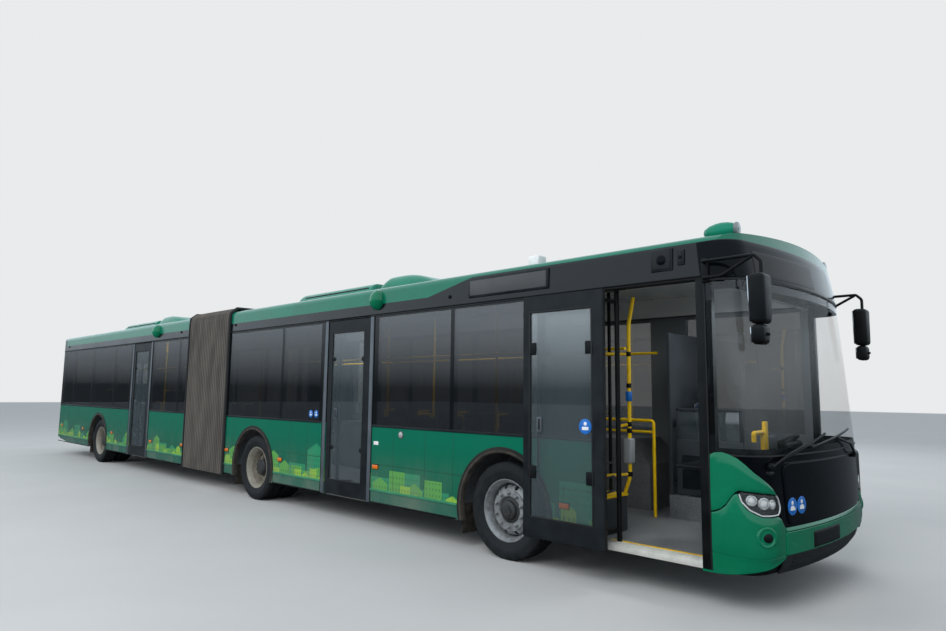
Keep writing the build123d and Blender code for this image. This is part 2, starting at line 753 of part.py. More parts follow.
def stage(first, second, mode=Mode.ADD):
    """A many-sided stretch of a wheel part between two rings of (radius, y), flat side down."""
    (small, small_y), (large, large_y) = sorted((first, second))
    way = 1 if small_y > large_y else -1
    length = abs(small_y - large_y)
    corner = large / cos(radians(180 / wheel_sides))
    with BuildSketch(Plane(origin=(0, large_y, 0), x_dir=(1, 0, 0), z_dir=(0, way, 0))) as ring:
        RegularPolygon(corner, wheel_sides, rotation=180 / wheel_sides)
    extrude(ring.sketch, amount=length, taper=degrees(atan2(large - small, length)), mode=mode)


with BuildPart() as tyre_form:
    for first, second in zip(tyre_outside, tyre_outside[1:]):
        stage(first, second)
    for side in (-1, 1):
        stage((bead_top, side * tread_half), (rim_radius, side * (tread_half - bead_inset)), Mode.SUBTRACT)
    stage((rim_radius, -tread_half), (rim_radius, tread_half), Mode.SUBTRACT)


def rim_form(twin):
    """A flanged barrel with a dished disc and a hub, on the side of +Y."""
    back = -twin_spacing - flange_y if twin else -flange_y
    dish = -40.0 if twin else 60.0
    edge_y = dish if twin else dish - 30
    with BuildPart() as form:
        stage((rim_radius, back), (rim_radius, flange_y))
        stage((rim_radius - lip, flange_y), (rim_radius - 45, edge_y), Mode.SUBTRACT)
        stage((rim_radius - lip, back), (150, dish - 90), Mode.SUBTRACT)
        if not twin:
            stage((rim_radius - 45, edge_y), (150, dish))
        stage((150, dish), (120, dish + 60))
        stage((85, back + 60), (150, dish - 90))
        rod_y(0, 0, back, flange_y + 50, hub_bore, mode=Mode.SUBTRACT)
    return form.part


rim_forms = {False: rim_form(False), True: rim_form(True)}

# columns: name, axle x, side of the bus, twin tyres
wheels = (
    ("front_left", front_axle_x, 1, False),
    ("front_right", front_axle_x, -1, False),
    ("middle_left", middle_axle_x, 1, True),
    ("middle_right", middle_axle_x, -1, True),
    ("rear_left", rear_axle_x, 1, True),
    ("rear_right", rear_axle_x, -1, True),
)
for name, axle_x, side, twin in wheels:
    mids = (outer_tyre_y, outer_tyre_y - twin_spacing) if twin else (outer_tyre_y,)
    with BuildPart() as tyre:
        with Locations(*[(axle_x, side * mid, wheel_z) for mid in mids]):
            add(tyre_form.part)
    tyre.part.label = f"tyre_{name}"
    export_step(tyre.part, f"parts/tyre_{name}.step")

    with BuildPart() as rim:
        with Locations(Location((axle_x, side * outer_tyre_y, wheel_z), (0, 0, 0 if side > 0 else 180))):
            add(rim_forms[twin])
    rim.part.label = f"rim_{name}"
    export_step(rim.part, f"parts/rim_{name}.step")

# Front axle: a dropped beam with forks that hold the knuckles
beam_half_depth = 60.0
kingpin_radius = 52.0
fork_bottom_z = 350.0
fork_top_z = 600.0
fork_plate = 30.0
beam_end_y = kingpin_y - 150
beam_inner_y = kingpin_y - 210
with BuildPart() as front_axle:
    with BuildSketch(Plane.YZ.offset(front_axle_x - beam_half_depth)):
        Polygon((-beam_end_y, 620), (-beam_end_y, 330), (-beam_end_y + 140, 200), (beam_end_y - 140, 200),
                (beam_end_y, 330), (beam_end_y, 620), (beam_inner_y, 620), (beam_inner_y, 360),
                (beam_inner_y - 110, 275), (110 - beam_inner_y, 275), (-beam_inner_y, 360),
                (-beam_inner_y, 620), align=None)
    extrude(amount=2 * beam_half_depth)
    for side in (-1, 1):
        for z0, z1 in ((fork_bottom_z - fork_plate, fork_bottom_z), (fork_top_z, fork_top_z + fork_plate)):
            block(front_axle_x - 50, front_axle_x + 50, side * beam_inner_y, side * (kingpin_y + 40), z0, z1)
    # the beam's seats up to the floor
    for seat_y in (-chassis_rail_y, chassis_rail_y):
        block(front_axle_x - 40, front_axle_x + 40, seat_y - 40, seat_y + 40, 275, floor_bottom_z)
front_axle.part.label = "front_axle"
export_step(front_axle.part, "parts/front_axle.step")

for name, side in (("left", 1), ("right", -1)):
    with BuildPart() as knuckle:
        post(front_axle_x, side * kingpin_y, fork_bottom_z + bearing_gap, fork_top_z - bearing_gap,
             kingpin_radius)
        rod_y(front_axle_x, wheel_z, side * kingpin_y, side * (outer_tyre_y + 110), spindle_radius)
    knuckle.part.label = f"knuckle_{name}"
    export_step(knuckle.part, f"parts/knuckle_{name}.step")

# Middle axle: a low beam under the floor with upright ends inside the housings
spindle_end = outer_tyre_y + 10
upright_inner_y = twin_housing_y + housing_wall + 7
upright_outer_y = twin_inner_face - 10.5
upright_top_z = 566.0
axle_beam_top_z = floor_bottom_z - 15
with BuildPart() as middle_axle:
    block(middle_axle_x - beam_half_depth, middle_axle_x + beam_half_depth,
          -upright_outer_y, upright_outer_y, 190, axle_beam_top_z)
    for side in (-1, 1):
        block(middle_axle_x - 90, middle_axle_x + 90, side * upright_inner_y, side * upright_outer_y,
              190, upright_top_z)
        rod_y(middle_axle_x, wheel_z, side * upright_inner_y, side * spindle_end, spindle_radius)
    for seat_y in (-chassis_rail_y, chassis_rail_y):
        block(middle_axle_x - 40, middle_axle_x + 40, seat_y - 40, seat_y + 40,
              axle_beam_top_z, floor_bottom_z)
middle_axle.part.label = "middle_axle"
export_step(middle_axle.part, "parts/middle_axle.step")

# Rear axle: a driven tube with its final drive, on beams that carry four air springs
with BuildPart() as rear_axle:
    rod_y(rear_axle_x, wheel_z, -upright_outer_y, upright_outer_y, 80)
    rod_y(rear_axle_x, wheel_z, -spindle_end, spindle_end, spindle_radius)
    rod_y(rear_axle_x, wheel_z - 70, -110, 110, 145)
    for beam_y in (-chassis_rail_y, chassis_rail_y):
        block(rear_axle_x - 460, rear_axle_x + 460, beam_y - 45, beam_y + 45, 340, 400)
        for spring_x in (-380, 380):
            post(rear_axle_x + spring_x, beam_y, 400, deck_bottom_z, 110)
rear_axle.part.label = "rear_axle"
export_step(rear_axle.part, "parts/rear_axle.step")

# Doors. Each leaf hangs on two cranked arms of an upright column
# and stays parallel to the side as the column turns.
arm_dx = (door_travel ** 2 + door_offset ** 2 - 2 * pivot_drop * door_offset) / (2 * door_travel)
arm_reach = hypot(arm_dx, pivot_drop)
closed_angle = degrees(atan2(pivot_drop, arm_dx))
open_angle = degrees(atan2(pivot_drop - door_offset, arm_dx - door_travel)) + 360
door_swing = closed_angle + 360 - open_angle
arm_height = 30.0
stile_rear = 70.0
stile_front = 110.0
glass_bottom = 500.0
glass_top = 2410.0
pin_radius = 8.0
print("door swing", round(door_swing, 2), "reach", round(arm_reach, 2), "dx", round(arm_dx, 2))

for name, rear_edge in door_rear_edges.items():
    is_open = name == "front"
    column_x = rear_edge + column_inset
    shift_x = -door_travel if is_open else 0.0
    shift_y = -door_offset if is_open else 0.0
    leaf_x = rear_edge + gap_rear + shift_x
    leaf_outer = -half_width + shift_y
    leaf_inner = leaf_outer + leaf_thickness
    hang_x = column_x + arm_dx + shift_x
    hang_y = column_y + pivot_drop + shift_y
    turn = radians(0 if is_open else door_swing)
    # the arm's elbow, drawn in the open pose and turned with the column
    elbow_open = (-20.0, pivot_drop - door_offset)
    elbow_x = column_x + elbow_open[0] * cos(turn) - elbow_open[1] * sin(turn)
    elbow_y = column_y + elbow_open[0] * sin(turn) + elbow_open[1] * cos(turn)
    with BuildPart() as door_arm:
        post(column_x, column_y, floor_top_z + hair, rail_z - hair, column_radius)
        for level in arm_levels:
            with BuildSketch(Plane.XY.offset(level)):
                with BuildLine():
                    Polyline((column_x, column_y), (elbow_x, elbow_y), (hang_x, hang_y))
                trace(line_width=arm_thickness)
                with Locations((elbow_x, elbow_y), (hang_x, hang_y)):
                    Circle(arm_thickness / 2)
            extrude(amount=arm_height)
            post(hang_x, hang_y, level, level + arm_height, pin_radius + bearing_gap, mode=Mode.SUBTRACT)
    door_arm.part.label = f"door_arm_{name}"
    export_step(door_arm.part, f"parts/door_arm_{name}.step")

    with BuildPart() as leaf_frame:
        block(leaf_x, leaf_x + leaf_width, leaf_outer, leaf_inner, leaf_bottom, leaf_top)
        block(leaf_x + stile_rear, leaf_x + leaf_width - stile_front, leaf_outer, leaf_inner,
              glass_bottom, glass_top, mode=Mode.SUBTRACT)
        for level in arm_levels:
            plate_z = level + arm_height + bearing_gap
            block(hang_x - 30, hang_x + 30, leaf_inner, hang_y + 14, plate_z, plate_z + 12)
            post(hang_x, hang_y, level + 2, plate_z, pin_radius)
    leaf_frame.part.label = f"leaf_frame_{name}"
    export_step(leaf_frame.part, f"parts/leaf_frame_{name}.step")

    with BuildPart() as leaf_glass:
        block(leaf_x + stile_rear, leaf_x + leaf_width - stile_front, leaf_outer + 10, leaf_outer + 16,
              glass_bottom, glass_top)
    leaf_glass.part.label = f"leaf_glass_{name}"
    export_step(leaf_glass.part, f"parts/leaf_glass_{name}.step")

# Roof units: a flat slotted air intake and a smooth fairing on each section,
# marker lamps on the front corners and door lamps on the roof's right edge
unit_half = 760.0
unit_corner = 140.0
unit_foot_z = 2900.0
intake_length = 2000.0
intake_top_z = 3150.0
fairing_length = 1160.0
fairing_top_z = 3200.0
unit_gap = 80.0
marker_radius = 72.0
marker_length = 270.0
marker_inset = 230.0
door_lamp_radius = 95.0
door_lamp_bottom_z = 2645.0
door_lamp_top_z = 2900.0


def roof_unit(points, cut):
    """A unit seated on the crown, from its side outline and a rounded cross section."""
    with BuildPart() as unit:
        with BuildSketch(Plane.XZ.offset(-unit_half)):
            Polygon(*points, align=None)
        extrude(amount=2 * unit_half)
        with BuildSketch(Plane.YZ.offset(points[0][0] - 100)) as across:
            Polygon((-unit_half, 2800), (-unit_half, fairing_top_z), (unit_half, fairing_top_z),
                    (unit_half, 2800), align=None)
            fillet(across.vertices().group_by(Axis.Y)[-1], unit_corner)
        extrude(amount=4000, mode=Mode.INTERSECT)
        add(cut, mode=Mode.SUBTRACT)
    return unit.part


def intake(rear_x, cut):
    front_x = rear_x + intake_length
    points = ((rear_x, unit_foot_z), (rear_x + 90, 3110), (rear_x + 160, intake_top_z),
              (front_x, intake_top_z), (front_x, unit_foot_z))
    slot_z = intake_top_z - 62
    unit = roof_unit(points, cut)
    with BuildPart() as slotted:
        add(unit)
        for side in (-1, 1):
            block(rear_x + 260, front_x - 120, side * (unit_half - 40), side * (unit_half + 10),
                  slot_z - 15, slot_z + 15, mode=Mode.SUBTRACT)
    return slotted.part


def fairing(rear_x, cut):
    front_x = rear_x + fairing_length
    points = ((rear_x, unit_foot_z), (rear_x, 3090), (rear_x + 130, 3170), (rear_x + 320, fairing_top_z),
              (front_x - 460, 3185), (front_x - 190, 3120), (front_x, 2990), (front_x, unit_foot_z))
    return roof_unit(points, cut)


def door_lamp(x, cut):
    """A drop-shaped lamp housing on the right edge of the roof."""
    y = -half_width + 35
    with BuildPart() as lamp:
        with BuildSketch(Plane(origin=(x, y, 0), x_dir=(1, 0, 0), z_dir=(0, -1, 0))):
            Polygon((0, door_lamp_top_z), (0, door_lamp_bottom_z), (50, door_lamp_bottom_z + 35),
                    (door_lamp_radius, door_lamp_bottom_z + 135), (door_lamp_radius, door_lamp_bottom_z + 175),
                    (65, door_lamp_bottom_z + 225), align=None)
        revolve(axis=Axis((x, y, 0), (0, 0, 1)))
        for solid in cut:
            add(solid, mode=Mode.SUBTRACT)
    return lamp.part


def marker_lamp(side):
    """A bullet-shaped lamp on a front corner of the roof, its round face turned forward."""
    face_x = mask_back_x + marker_inset
    y = side * (half_width - 175)
    z = roof_edge_z + 45
    with BuildPart() as lamp:
        with BuildSketch(Plane(origin=(face_x, y, z), x_dir=(-1, 0, 0), z_dir=(0, 1, 0))):
            Polygon((marker_length, 0), (0, 0), (0, marker_radius), (marker_length / 4, marker_radius),
                    (marker_length * 0.6, marker_radius * 0.7), (marker_length * 0.95, 10), align=None)
        revolve(axis=Axis((face_x, y, z), (1, 0, 0)))
        add(roof_front, mode=Mode.SUBTRACT)
        add(header_roof, mode=Mode.SUBTRACT)
    return lamp.part


front_intake_x = middle_axle_x + 140
rear_intake_x = rear_axle_x - 500
front_units = [
    intake(front_intake_x, roof_front),
    fairing(front_intake_x + intake_length + unit_gap, roof_front),
    door_lamp(doorway("middle")[1] + 120, (roof_front, right_front)),
    marker_lamp(-1),
    marker_lamp(1),
]
with BuildPart() as front_roof_units:
    for unit in front_units:
        add(unit)
front_roof_units.part.label = "front_roof_units"
export_step(front_roof_units.part, "parts/front_roof_units.step")

rear_units = [
    intake(rear_intake_x, roof_rear),
    fairing(rear_intake_x + intake_length + unit_gap, roof_rear),
    door_lamp(doorway("rear")[1] + 240, (roof_rear, right_rear)),
]
with BuildPart() as rear_roof_units:
    for unit in rear_units:
        add(unit)
rear_roof_units.part.label = "rear_roof_units"
export_step(rear_roof_units.part, "parts/rear_roof_units.step")

# Mirrors on arms from the front pillars
arm_half = 20.0
mirror_inner_y = half_width - 20
mirror_width = 195.0
mirror_arm_out = 75.0
# one mirror head in side view: distance back from the nose, height
main_head = ((45.0, 2530.0), (170.0, 2540.0), (175.0, 2230.0), (150.0, 2165.0), (55.0, 2165.0), (25.0, 2240.0))
kerb_head = ((50.0, 2160.0), (150.0, 2160.0), (150.0, 2050.0), (120.0, 2010.0), (60.0, 2010.0), (40.0, 2050.0))
with BuildPart() as mirrors:
    for side in (-1, 1):
        low_y, high_y = sorted((side * mirror_inner_y, side * (mirror_inner_y + mirror_width)))
        for head in (main_head, kerb_head):
            with BuildSketch(Plane.XZ.offset(-high_y)) as side_view:
                Polygon(*[(nose_x - back, z) for back, z in head], align=None)
            extrude(side_view.sketch, amount=high_y - low_y)
        arm_y = side * (half_width + mirror_arm_out)
        block(nose_x - 115, nose_x - 75, arm_y - arm_half, arm_y + arm_half, 2155, 2172)
        with BuildSketch(Plane.XZ.offset(-arm_y - arm_half)) as arm:
            Polygon((nose_x - 535, 2672), (nose_x - 128, 2672), (nose_x - 98, 2640), (nose_x - 98, 2530),
                    (nose_x - 64, 2530), (nose_x - 64, 2656), (nose_x - 112, 2706), (nose_x - 535, 2706),
                    align=None)
            Polygon((nose_x - 535, 2550), (nose_x - 360, 2550), (nose_x - 128, 2680), (nose_x - 146, 2706),
                    (nose_x - 370, 2584), (nose_x - 535, 2584), align=None)
        extrude(arm.sketch, amount=2 * arm_half)
        bracket_y0, bracket_y1 = sorted((side * half_width, side * (half_width + mirror_arm_out + arm_half)))
        block(nose_x - 560, nose_x - 520, bracket_y0, bracket_y1, 2545, 2575)
        block(nose_x - 560, nose_x - 520, arm_y - arm_half, arm_y + arm_half, 2545, 2706)
mirrors.part.label = "mirrors"
export_step(mirrors.part, "parts/mirrors.step")

# Wipers lie against the windscreen
wiper_height = 15.0
wiper_outer = nose_solid(2, 3, -wiper_height, mask_back_x)
wiper_inner = nose_solid(2, 3, -0.5, mask_back_x - 10)
with BuildPart() as wipers:
    add(wiper_outer)
    add(wiper_inner, mode=Mode.SUBTRACT)
    with BuildSketch(Plane.YZ.offset(mask_back_x + pillar_depth)):
        Polygon((-1050, 1190), (-1050, 1165), (-120, 1240), (-120, 1265), align=None)
        Polygon((-60, 1190), (-60, 1165), (880, 1240), (880, 1265), align=None)
    extrude(amount=ahead_x - mask_back_x, mode=Mode.INTERSECT)
wipers.part.label = "wipers"
export_step(wipers.part, "parts/wipers.step")

# Seats: rows of shells with their stands
seat_aisle_y = 330.0
seat_wall_y = inner_y - 25
seat_length = 510.0
seat_room = 60.0
leg_room = 340.0
deck_seat_y = 600.0


def seat_row(rear_limit, front_limit, pitch):
    """The front edges of as many seats as fit between two places."""
    count = int((front_limit - rear_limit - seat_length) // pitch) + 1
    return [front_limit - index * pitch for index in range(max(count, 0))]


# columns: rear limit, front limit, pitch, low y, high y, floor under it
front_seat_zones = (
    (doorway("middle")[1] + seat_room, front_axle_x - housing_half_length - leg_room, 600,
     -seat_wall_y, -seat_aisle_y, floor_top_z),
    (middle_axle_x + housing_half_length + leg_room, front_axle_x - housing_half_length - leg_room, 800,
     seat_aisle_y, seat_wall_y, floor_top_z),
)
rear_seat_zones = (
    (rear_deck_x + seat_room, rear_section_start - 496, 800, seat_aisle_y, seat_wall_y, floor_top_z),
    (rear_deck_x + seat_room, door_rear_edges["rear"] - 390, 800, -seat_wall_y, -seat_aisle_y, floor_top_z),
    (engine_bay_x + seat_room, rear_axle_x - housing_half_length - seat_room, 700,
     deck_seat_y, seat_wall_y, rear_deck_z),
    (engine_bay_x + seat_room, rear_axle_x - housing_half_length - seat_room, 700,
     -seat_wall_y, -deck_seat_y, rear_deck_z),
)
bench_x = tail_x + 1050
bench_depth = 460.0
bench_back = 60.0


def seat(front_x, y0, y1, base_z):
    """A bench shell: stand, pan and back in one outline."""
    points = ((-330, 0), (-260, 0), (-150, 400), (0, 410), (0, 450), (-400, 450), (-470, 980),
              (-seat_length, 980), (-450, 410), (-380, 390))
    with BuildSketch(Plane.XZ.offset(-y1)) as shell:
        Polygon(*[(front_x + x, base_z + z) for x, z in points], align=None)
    extrude(shell.sketch, amount=y1 - y0)


driver_y0 = 560.0
driver_y1 = 1000.0
with BuildPart() as front_seats:
    for rear_limit, front_limit, pitch, y0, y1, base_z in front_seat_zones:
        for front_x in seat_row(rear_limit, front_limit, pitch):
            seat(front_x, y0, y1, base_z)
    # driver's seat
    block(mask_back_x - 880, mask_back_x - 460, driver_y0, driver_y1, 900, 1040)
    block(mask_back_x - 960, mask_back_x - 840, driver_y0, driver_y1, 1000, 1760)
    block(mask_back_x - 790, mask_back_x - 540, driver_y0 + 100, driver_y1 - 100, platform_z, 900)
front_seats.part.label = "front_seats"
export_step(front_seats.part, "parts/front_seats.step")

with BuildPart() as rear_seats:
    for rear_limit, front_limit, pitch, y0, y1, base_z in rear_seat_zones:
        for front_x in seat_row(rear_limit, front_limit, pitch):
            seat(front_x, y0, y1, base_z)
    # the rear bench on the engine deck
    block(bench_x - bench_depth, bench_x, -seat_wall_y, seat_wall_y, engine_bay_z, engine_bay_z + 90)
    block(bench_x - bench_depth - bench_back, bench_x - bench_depth, -seat_wall_y, seat_wall_y,
          engine_bay_z, engine_bay_z + 620)
rear_seats.part.label = "rear_seats"
export_step(rear_seats.part, "parts/rear_seats.step")

# Steering wheel on its column, and the driver's cab: partition, half door and dashboard
steering_x = mask_back_x - 210
steering_y = 780.0
steering_z = 1140.0
steering_tilt = 30.0
steering_column = 120.0
wheel_grip_radius = 215.0
grip_radius = 16.0
cab_panel = 40.0
cab_door_thickness = 28.0
cab_door_length = 710.0
cab_door_top_z = 1500.0
cab_hinge_x = cab_rear_x + cab_panel + 25
cab_hinge_y = cab_inner_y + cab_panel / 2
cab_pin_radius = 6.0
cab_pin_places_z = (780.0, 1340.0)
cab_door_end_x = cab_hinge_x + 20 + cab_door_length
with BuildPart() as driver_cab:
    block(cab_rear_x, cab_rear_x + cab_panel, cab_inner_y, inner_y - 15, platform_z, 2300)
    block(cab_door_end_x + 10, mask_back_x - 100, cab_inner_y, cab_inner_y + cab_panel, platform_z, 980)
    for pin_z in cab_pin_places_z:
        post(cab_hinge_x, cab_hinge_y, pin_z - 45, pin_z + 75, cab_pin_radius - bearing_gap)
        block(cab_rear_x + cab_panel, cab_hinge_x + cab_pin_radius, cab_hinge_y - 10, cab_hinge_y + 10,
              pin_z + 45, pin_z + 75)
    # dashboard with its sloping binnacle
    with BuildSketch(Plane.XZ.offset(-1000)) as binnacle:
        Polygon((mask_back_x - 100, platform_z), (mask_back_x - 100, 980), (mask_back_x, 1090),
                (mask_back_x + 180, 1110), (mask_back_x + 360, 1080), (mask_back_x + 360, platform_z),
                align=None)
    extrude(binnacle.sketch, amount=800)
    with Locations(Location((steering_x, steering_y, steering_z), (0, -steering_tilt, 0))):
        with Locations((0, 0, -steering_column - hair - 70)):
            Cylinder(45, 140)
driver_cab.part.label = "driver_cab"
export_step(driver_cab.part, "parts/driver_cab.step")

with BuildPart() as cab_door:
    block(cab_hinge_x + 20, cab_door_end_x, cab_hinge_y - cab_door_thickness / 2,
          cab_hinge_y + cab_door_thickness / 2, platform_z + 15, cab_door_top_z)
    for pin_z in cab_pin_places_z:
        post(cab_hinge_x, cab_hinge_y, pin_z - 40, pin_z + 40, cab_pin_radius + 6)
        block(cab_hinge_x, cab_hinge_x + 25, cab_hinge_y - 8, cab_hinge_y + 8, pin_z - 40, pin_z + 40)
        post(cab_hinge_x, cab_hinge_y, pin_z - 41, pin_z + 41, cab_pin_radius, mode=Mode.SUBTRACT)
cab_door.part.label = "cab_door"
export_step(cab_door.part, "parts/cab_door.step")

steering_centre = (steering_x, steering_y, steering_z)
steering_axis = (-sin(radians(steering_tilt)), 0, cos(radians(steering_tilt)))
steering_plane = Plane(origin=steering_centre, x_dir=(0, 1, 0), z_dir=steering_axis)
grip_plane = Plane(origin=steering_centre, x_dir=(0, 1, 0),
                   z_dir=(cos(radians(steering_tilt)), 0, sin(radians(steering_tilt))))
with BuildPart(steering_plane) as steering_wheel:
    Box(2 * wheel_grip_radius - 20, 36, 20)
    Box(36, 2 * wheel_grip_radius - 20, 20)
    Cylinder(30, steering_column, align=(Align.CENTER, Align.CENTER, Align.MAX))
    with BuildSketch(grip_plane):
        with Locations((wheel_grip_radius, 0)):
            RegularPolygon(grip_radius, 6)
    revolve(axis=Axis(steering_centre, steering_axis))
steering_wheel.part.label = "steering_wheel"
export_step(steering_wheel.part, "parts/steering_wheel.step")

# Handrails
grab_radius = 17.0
near_door_y = half_width - 515
# columns: x, y of the poles
front_poles = (
    (cab_rear_x - 150, 125 - near_door_y), (front_axle_x - 950, 310), (front_axle_x - 950, -310),
    (middle_axle_x + 2300, 310), (middle_axle_x + 1240, -near_door_y), (middle_axle_x + 1240, 310),
)
rear_poles = (
    (rear_section_start - 296, 310), (rear_deck_x + 1800, 310), (rear_deck_x + 250, 310),
    (rear_deck_x + 250, -310), (rear_section_start - 1096, -near_door_y),
)
with BuildPart() as front_handrails:
    for x, y in front_poles:
        post(x, y, floor_top_z, ceiling_z, grab_radius)
front_handrails.part.label = "front_handrails"
export_step(front_handrails.part, "parts/front_handrails.step")

with BuildPart() as rear_handrails:
    for x, y in rear_poles:
        post(x, y, floor_top_z, ceiling_z, grab_radius)
rear_handrails.part.label = "rear_handrails"
export_step(rear_handrails.part, "parts/rear_handrails.step")
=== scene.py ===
import bpy
import math
from mathutils import Matrix, Vector


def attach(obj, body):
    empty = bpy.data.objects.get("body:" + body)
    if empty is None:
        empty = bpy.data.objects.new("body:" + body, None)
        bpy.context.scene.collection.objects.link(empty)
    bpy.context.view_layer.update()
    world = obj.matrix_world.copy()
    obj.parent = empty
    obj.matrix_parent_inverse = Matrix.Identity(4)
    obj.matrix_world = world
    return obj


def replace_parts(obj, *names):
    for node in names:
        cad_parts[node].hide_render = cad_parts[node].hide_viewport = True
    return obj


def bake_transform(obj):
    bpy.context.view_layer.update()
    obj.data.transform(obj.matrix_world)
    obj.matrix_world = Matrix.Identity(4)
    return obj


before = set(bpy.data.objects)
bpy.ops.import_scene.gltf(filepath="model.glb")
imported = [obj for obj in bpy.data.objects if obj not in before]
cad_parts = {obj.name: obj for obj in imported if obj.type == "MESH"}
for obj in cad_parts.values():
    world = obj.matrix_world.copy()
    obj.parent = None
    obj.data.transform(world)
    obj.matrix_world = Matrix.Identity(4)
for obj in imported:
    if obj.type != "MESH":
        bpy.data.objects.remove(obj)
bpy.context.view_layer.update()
bpy.ops.object.select_all(action="DESELECT")
scene = bpy.context.scene

# Articulated city bus. Metres, +X forward, +Y to the driver's side, +Z up.

# Sizes shared by the pieces
half_width = 1.275
skirt_z = 0.312
floor_z = 0.36
front_axle_x = 6.3
middle_axle_x = 1.26
rear_axle_x = -5.84
wheel_z = 0.476
pivot_x = -0.439
front_section_end = 0.326
rear_section_start = -1.204
bellows_pleats = 24
door_rear_edges = {"front": 7.45, "middle": 3.182, "rear": -3.91}
doorway_width = 0.92
sides = (-1, 1)
forward = (1, 0, 0)
sideways = (0, 1, 0)
upright = (0, 0, 1)

# Camera, at the photograph's place
camera_place = Vector((10.778, -6.34, 1.635))
yaw, pitch, roll = (math.radians(a) for a in (134.067, 6.637, -0.646))
ahead = Vector((math.cos(pitch) * math.cos(yaw), math.cos(pitch) * math.sin(yaw), math.sin(pitch)))
level = Vector((math.sin(yaw), -math.cos(yaw), 0))
down = ahead.cross(level)
right = math.cos(roll) * level + math.sin(roll) * down
below = -math.sin(roll) * level + math.cos(roll) * down
camera = bpy.data.objects.new("photo_camera", bpy.data.cameras.new("photo_camera"))
scene.collection.objects.link(camera)
camera.matrix_world = Matrix.Translation(camera_place) @ Matrix((right, -below, -ahead)).transposed().to_4x4()
camera.data.lens = 25.33
camera.data.sensor_width = 36.0
camera.data.clip_end = 200.0
scene.camera = camera
scene.view_settings.view_transform = "Standard"


def linear(colour):
    """A colour written as sRGB hex, in linear light."""
    parts = [int(colour[start:start + 2], 16) / 255 for start in (0, 2, 4)]
    return (*(c / 12.92 if c <= 0.04045 else ((c + 0.055) / 1.055) ** 2.4 for c in parts), 1.0)


def add_node(tree, kind, values=None, **settings):
    """Adds a node with its settings; each input is given a value or a socket to follow."""
    node = tree.nodes.new("ShaderNode" + kind)
    for key, value in settings.items():
        setattr(node, key, value)
    for key, value in (values or {}).items():
        value = getattr(value, "socket", value)
        if isinstance(value, bpy.types.NodeSocket):
            tree.links.new(value, node.inputs[key])
        else:
            node.inputs[key].default_value = value
    return node


# Materials
class Value:
    """A number or colour inside a material. Sums and comparisons with it become maths nodes."""

    def __init__(self, tree, socket):
        self.tree = tree
        self.socket = socket

    def node(self, kind, values, output=0, **settings):
        return Value(self.tree, add_node(self.tree, kind, values, **settings).outputs[output])

    def math(self, operation, *inputs):
        return self.node("Math", dict(enumerate(inputs or (self,))), operation=operation)

    def ramp(self, low, high, to_low=0.0, to_high=1.0):
        return self.node("MapRange", {0: self, 1: low, 2: high, 3: to_low, 4: to_high})

    def mix(self, first, second):
        """A colour between the first, where this is 0, and the second, where it is 1."""
        first, second = (linear(c) if isinstance(c, str) else c for c in (first, second))
        return self.node("Mix", {0: self, 6: first, 7: second}, 2, data_type="RGBA")

    def __add__(self, other):
        return self.math("ADD", self, other)

    def __sub__(self, other):
        return self.math("SUBTRACT", self, other)

    def __rsub__(self, other):
        return self.math("SUBTRACT", other, self)

    def __mul__(self, other):
        return self.math("MULTIPLY", self, other)

    def __truediv__(self, other):
        return self.math("DIVIDE", self, other)

    def __pow__(self, other):
        return self.math("POWER", self, other)

    def __abs__(self):
        return self.math("ABSOLUTE")

    def __lt__(self, other):
        return self.math("LESS_THAN", self, other)

    def __gt__(self, other):
        return self.math("GREATER_THAN", self, other)

    def __or__(self, other):
        return self.math("MAXIMUM", self, other)


shader_words = {"alpha": "Alpha", "coat": "Coat Weight", "coat_rough": "Coat Roughness", "ior": "IOR",
                "metal": "Metallic", "rough": "Roughness", "sheen": "Sheen Weight",
                "specular": "Specular IOR Level"}


class Finish:
    """A material being built: its node tree, its object coordinates and its shader."""

    def __init__(self, name, **shader):
        self.material = bpy.data.materials.new(name)
        self.material.use_nodes = True
        self.tree = self.material.node_tree
        self.tree.nodes.clear()
        self.place = Value(self.tree, add_node(self.tree, "TexCoord").outputs["Object"])
        axes = add_node(self.tree, "SeparateXYZ", {0: self.place}).outputs
        self.x, self.y, self.z = (Value(self.tree, axis) for axis in axes)
        settings = {shader_words[word]: value for word, value in shader.items()}
        self.shader = add_node(self.tree, "BsdfPrincipled", settings)
        add_node(self.tree, "OutputMaterial", {"Surface": self.shader.outputs[0]})

    def noise(self, size, detail=3.0, stretch=None):
        """Noise from 0 to 1 whose blots are about this many metres across."""
        place = self.place
        if stretch:
            place = place.node("Mapping", {"Vector": place, "Scale": stretch})
        return place.node("TexNoise", {"Vector": place, "Scale": 1 / size, "Detail": detail})

    def ribs(self, scale):
        return self.place.node("TexWave", {"Vector": self.place, "Scale": scale}, 1, bands_direction="Z")

    def flecks(self, scale):
        return self.place.node("TexVoronoi", {"Vector": self.place, "Scale": scale})

    def made(self, colour, rough=None, height=None, depth=0.0, strength=0.5):
        """The material, once its colour, roughness and relief are joined to the shader."""
        inputs = {"Base Color": colour}
        if rough:
            inputs["Roughness"] = rough
        if height:
            relief = {"Strength": strength, "Distance": depth, "Height": height}
            inputs["Normal"] = height.node("Bump", relief)
        for socket, value in inputs.items():
            self.tree.links.new(value.socket, self.shader.inputs[socket])
        return self.material


def coating(name, base, other, blot, low_rough, high_rough, grain=0.004, depth=0.0003, **shader):
    """A finish whose colour drifts between two tones, with a fine grain and uneven gloss."""
    skin = Finish(name, **shader)
    drift = skin.noise(blot)
    return skin.made(drift.ramp(0.35, 0.65).mix(base, other), drift.ramp(0.3, 0.7, low_rough, high_rough),
                     skin.noise(grain, 2.0), depth)


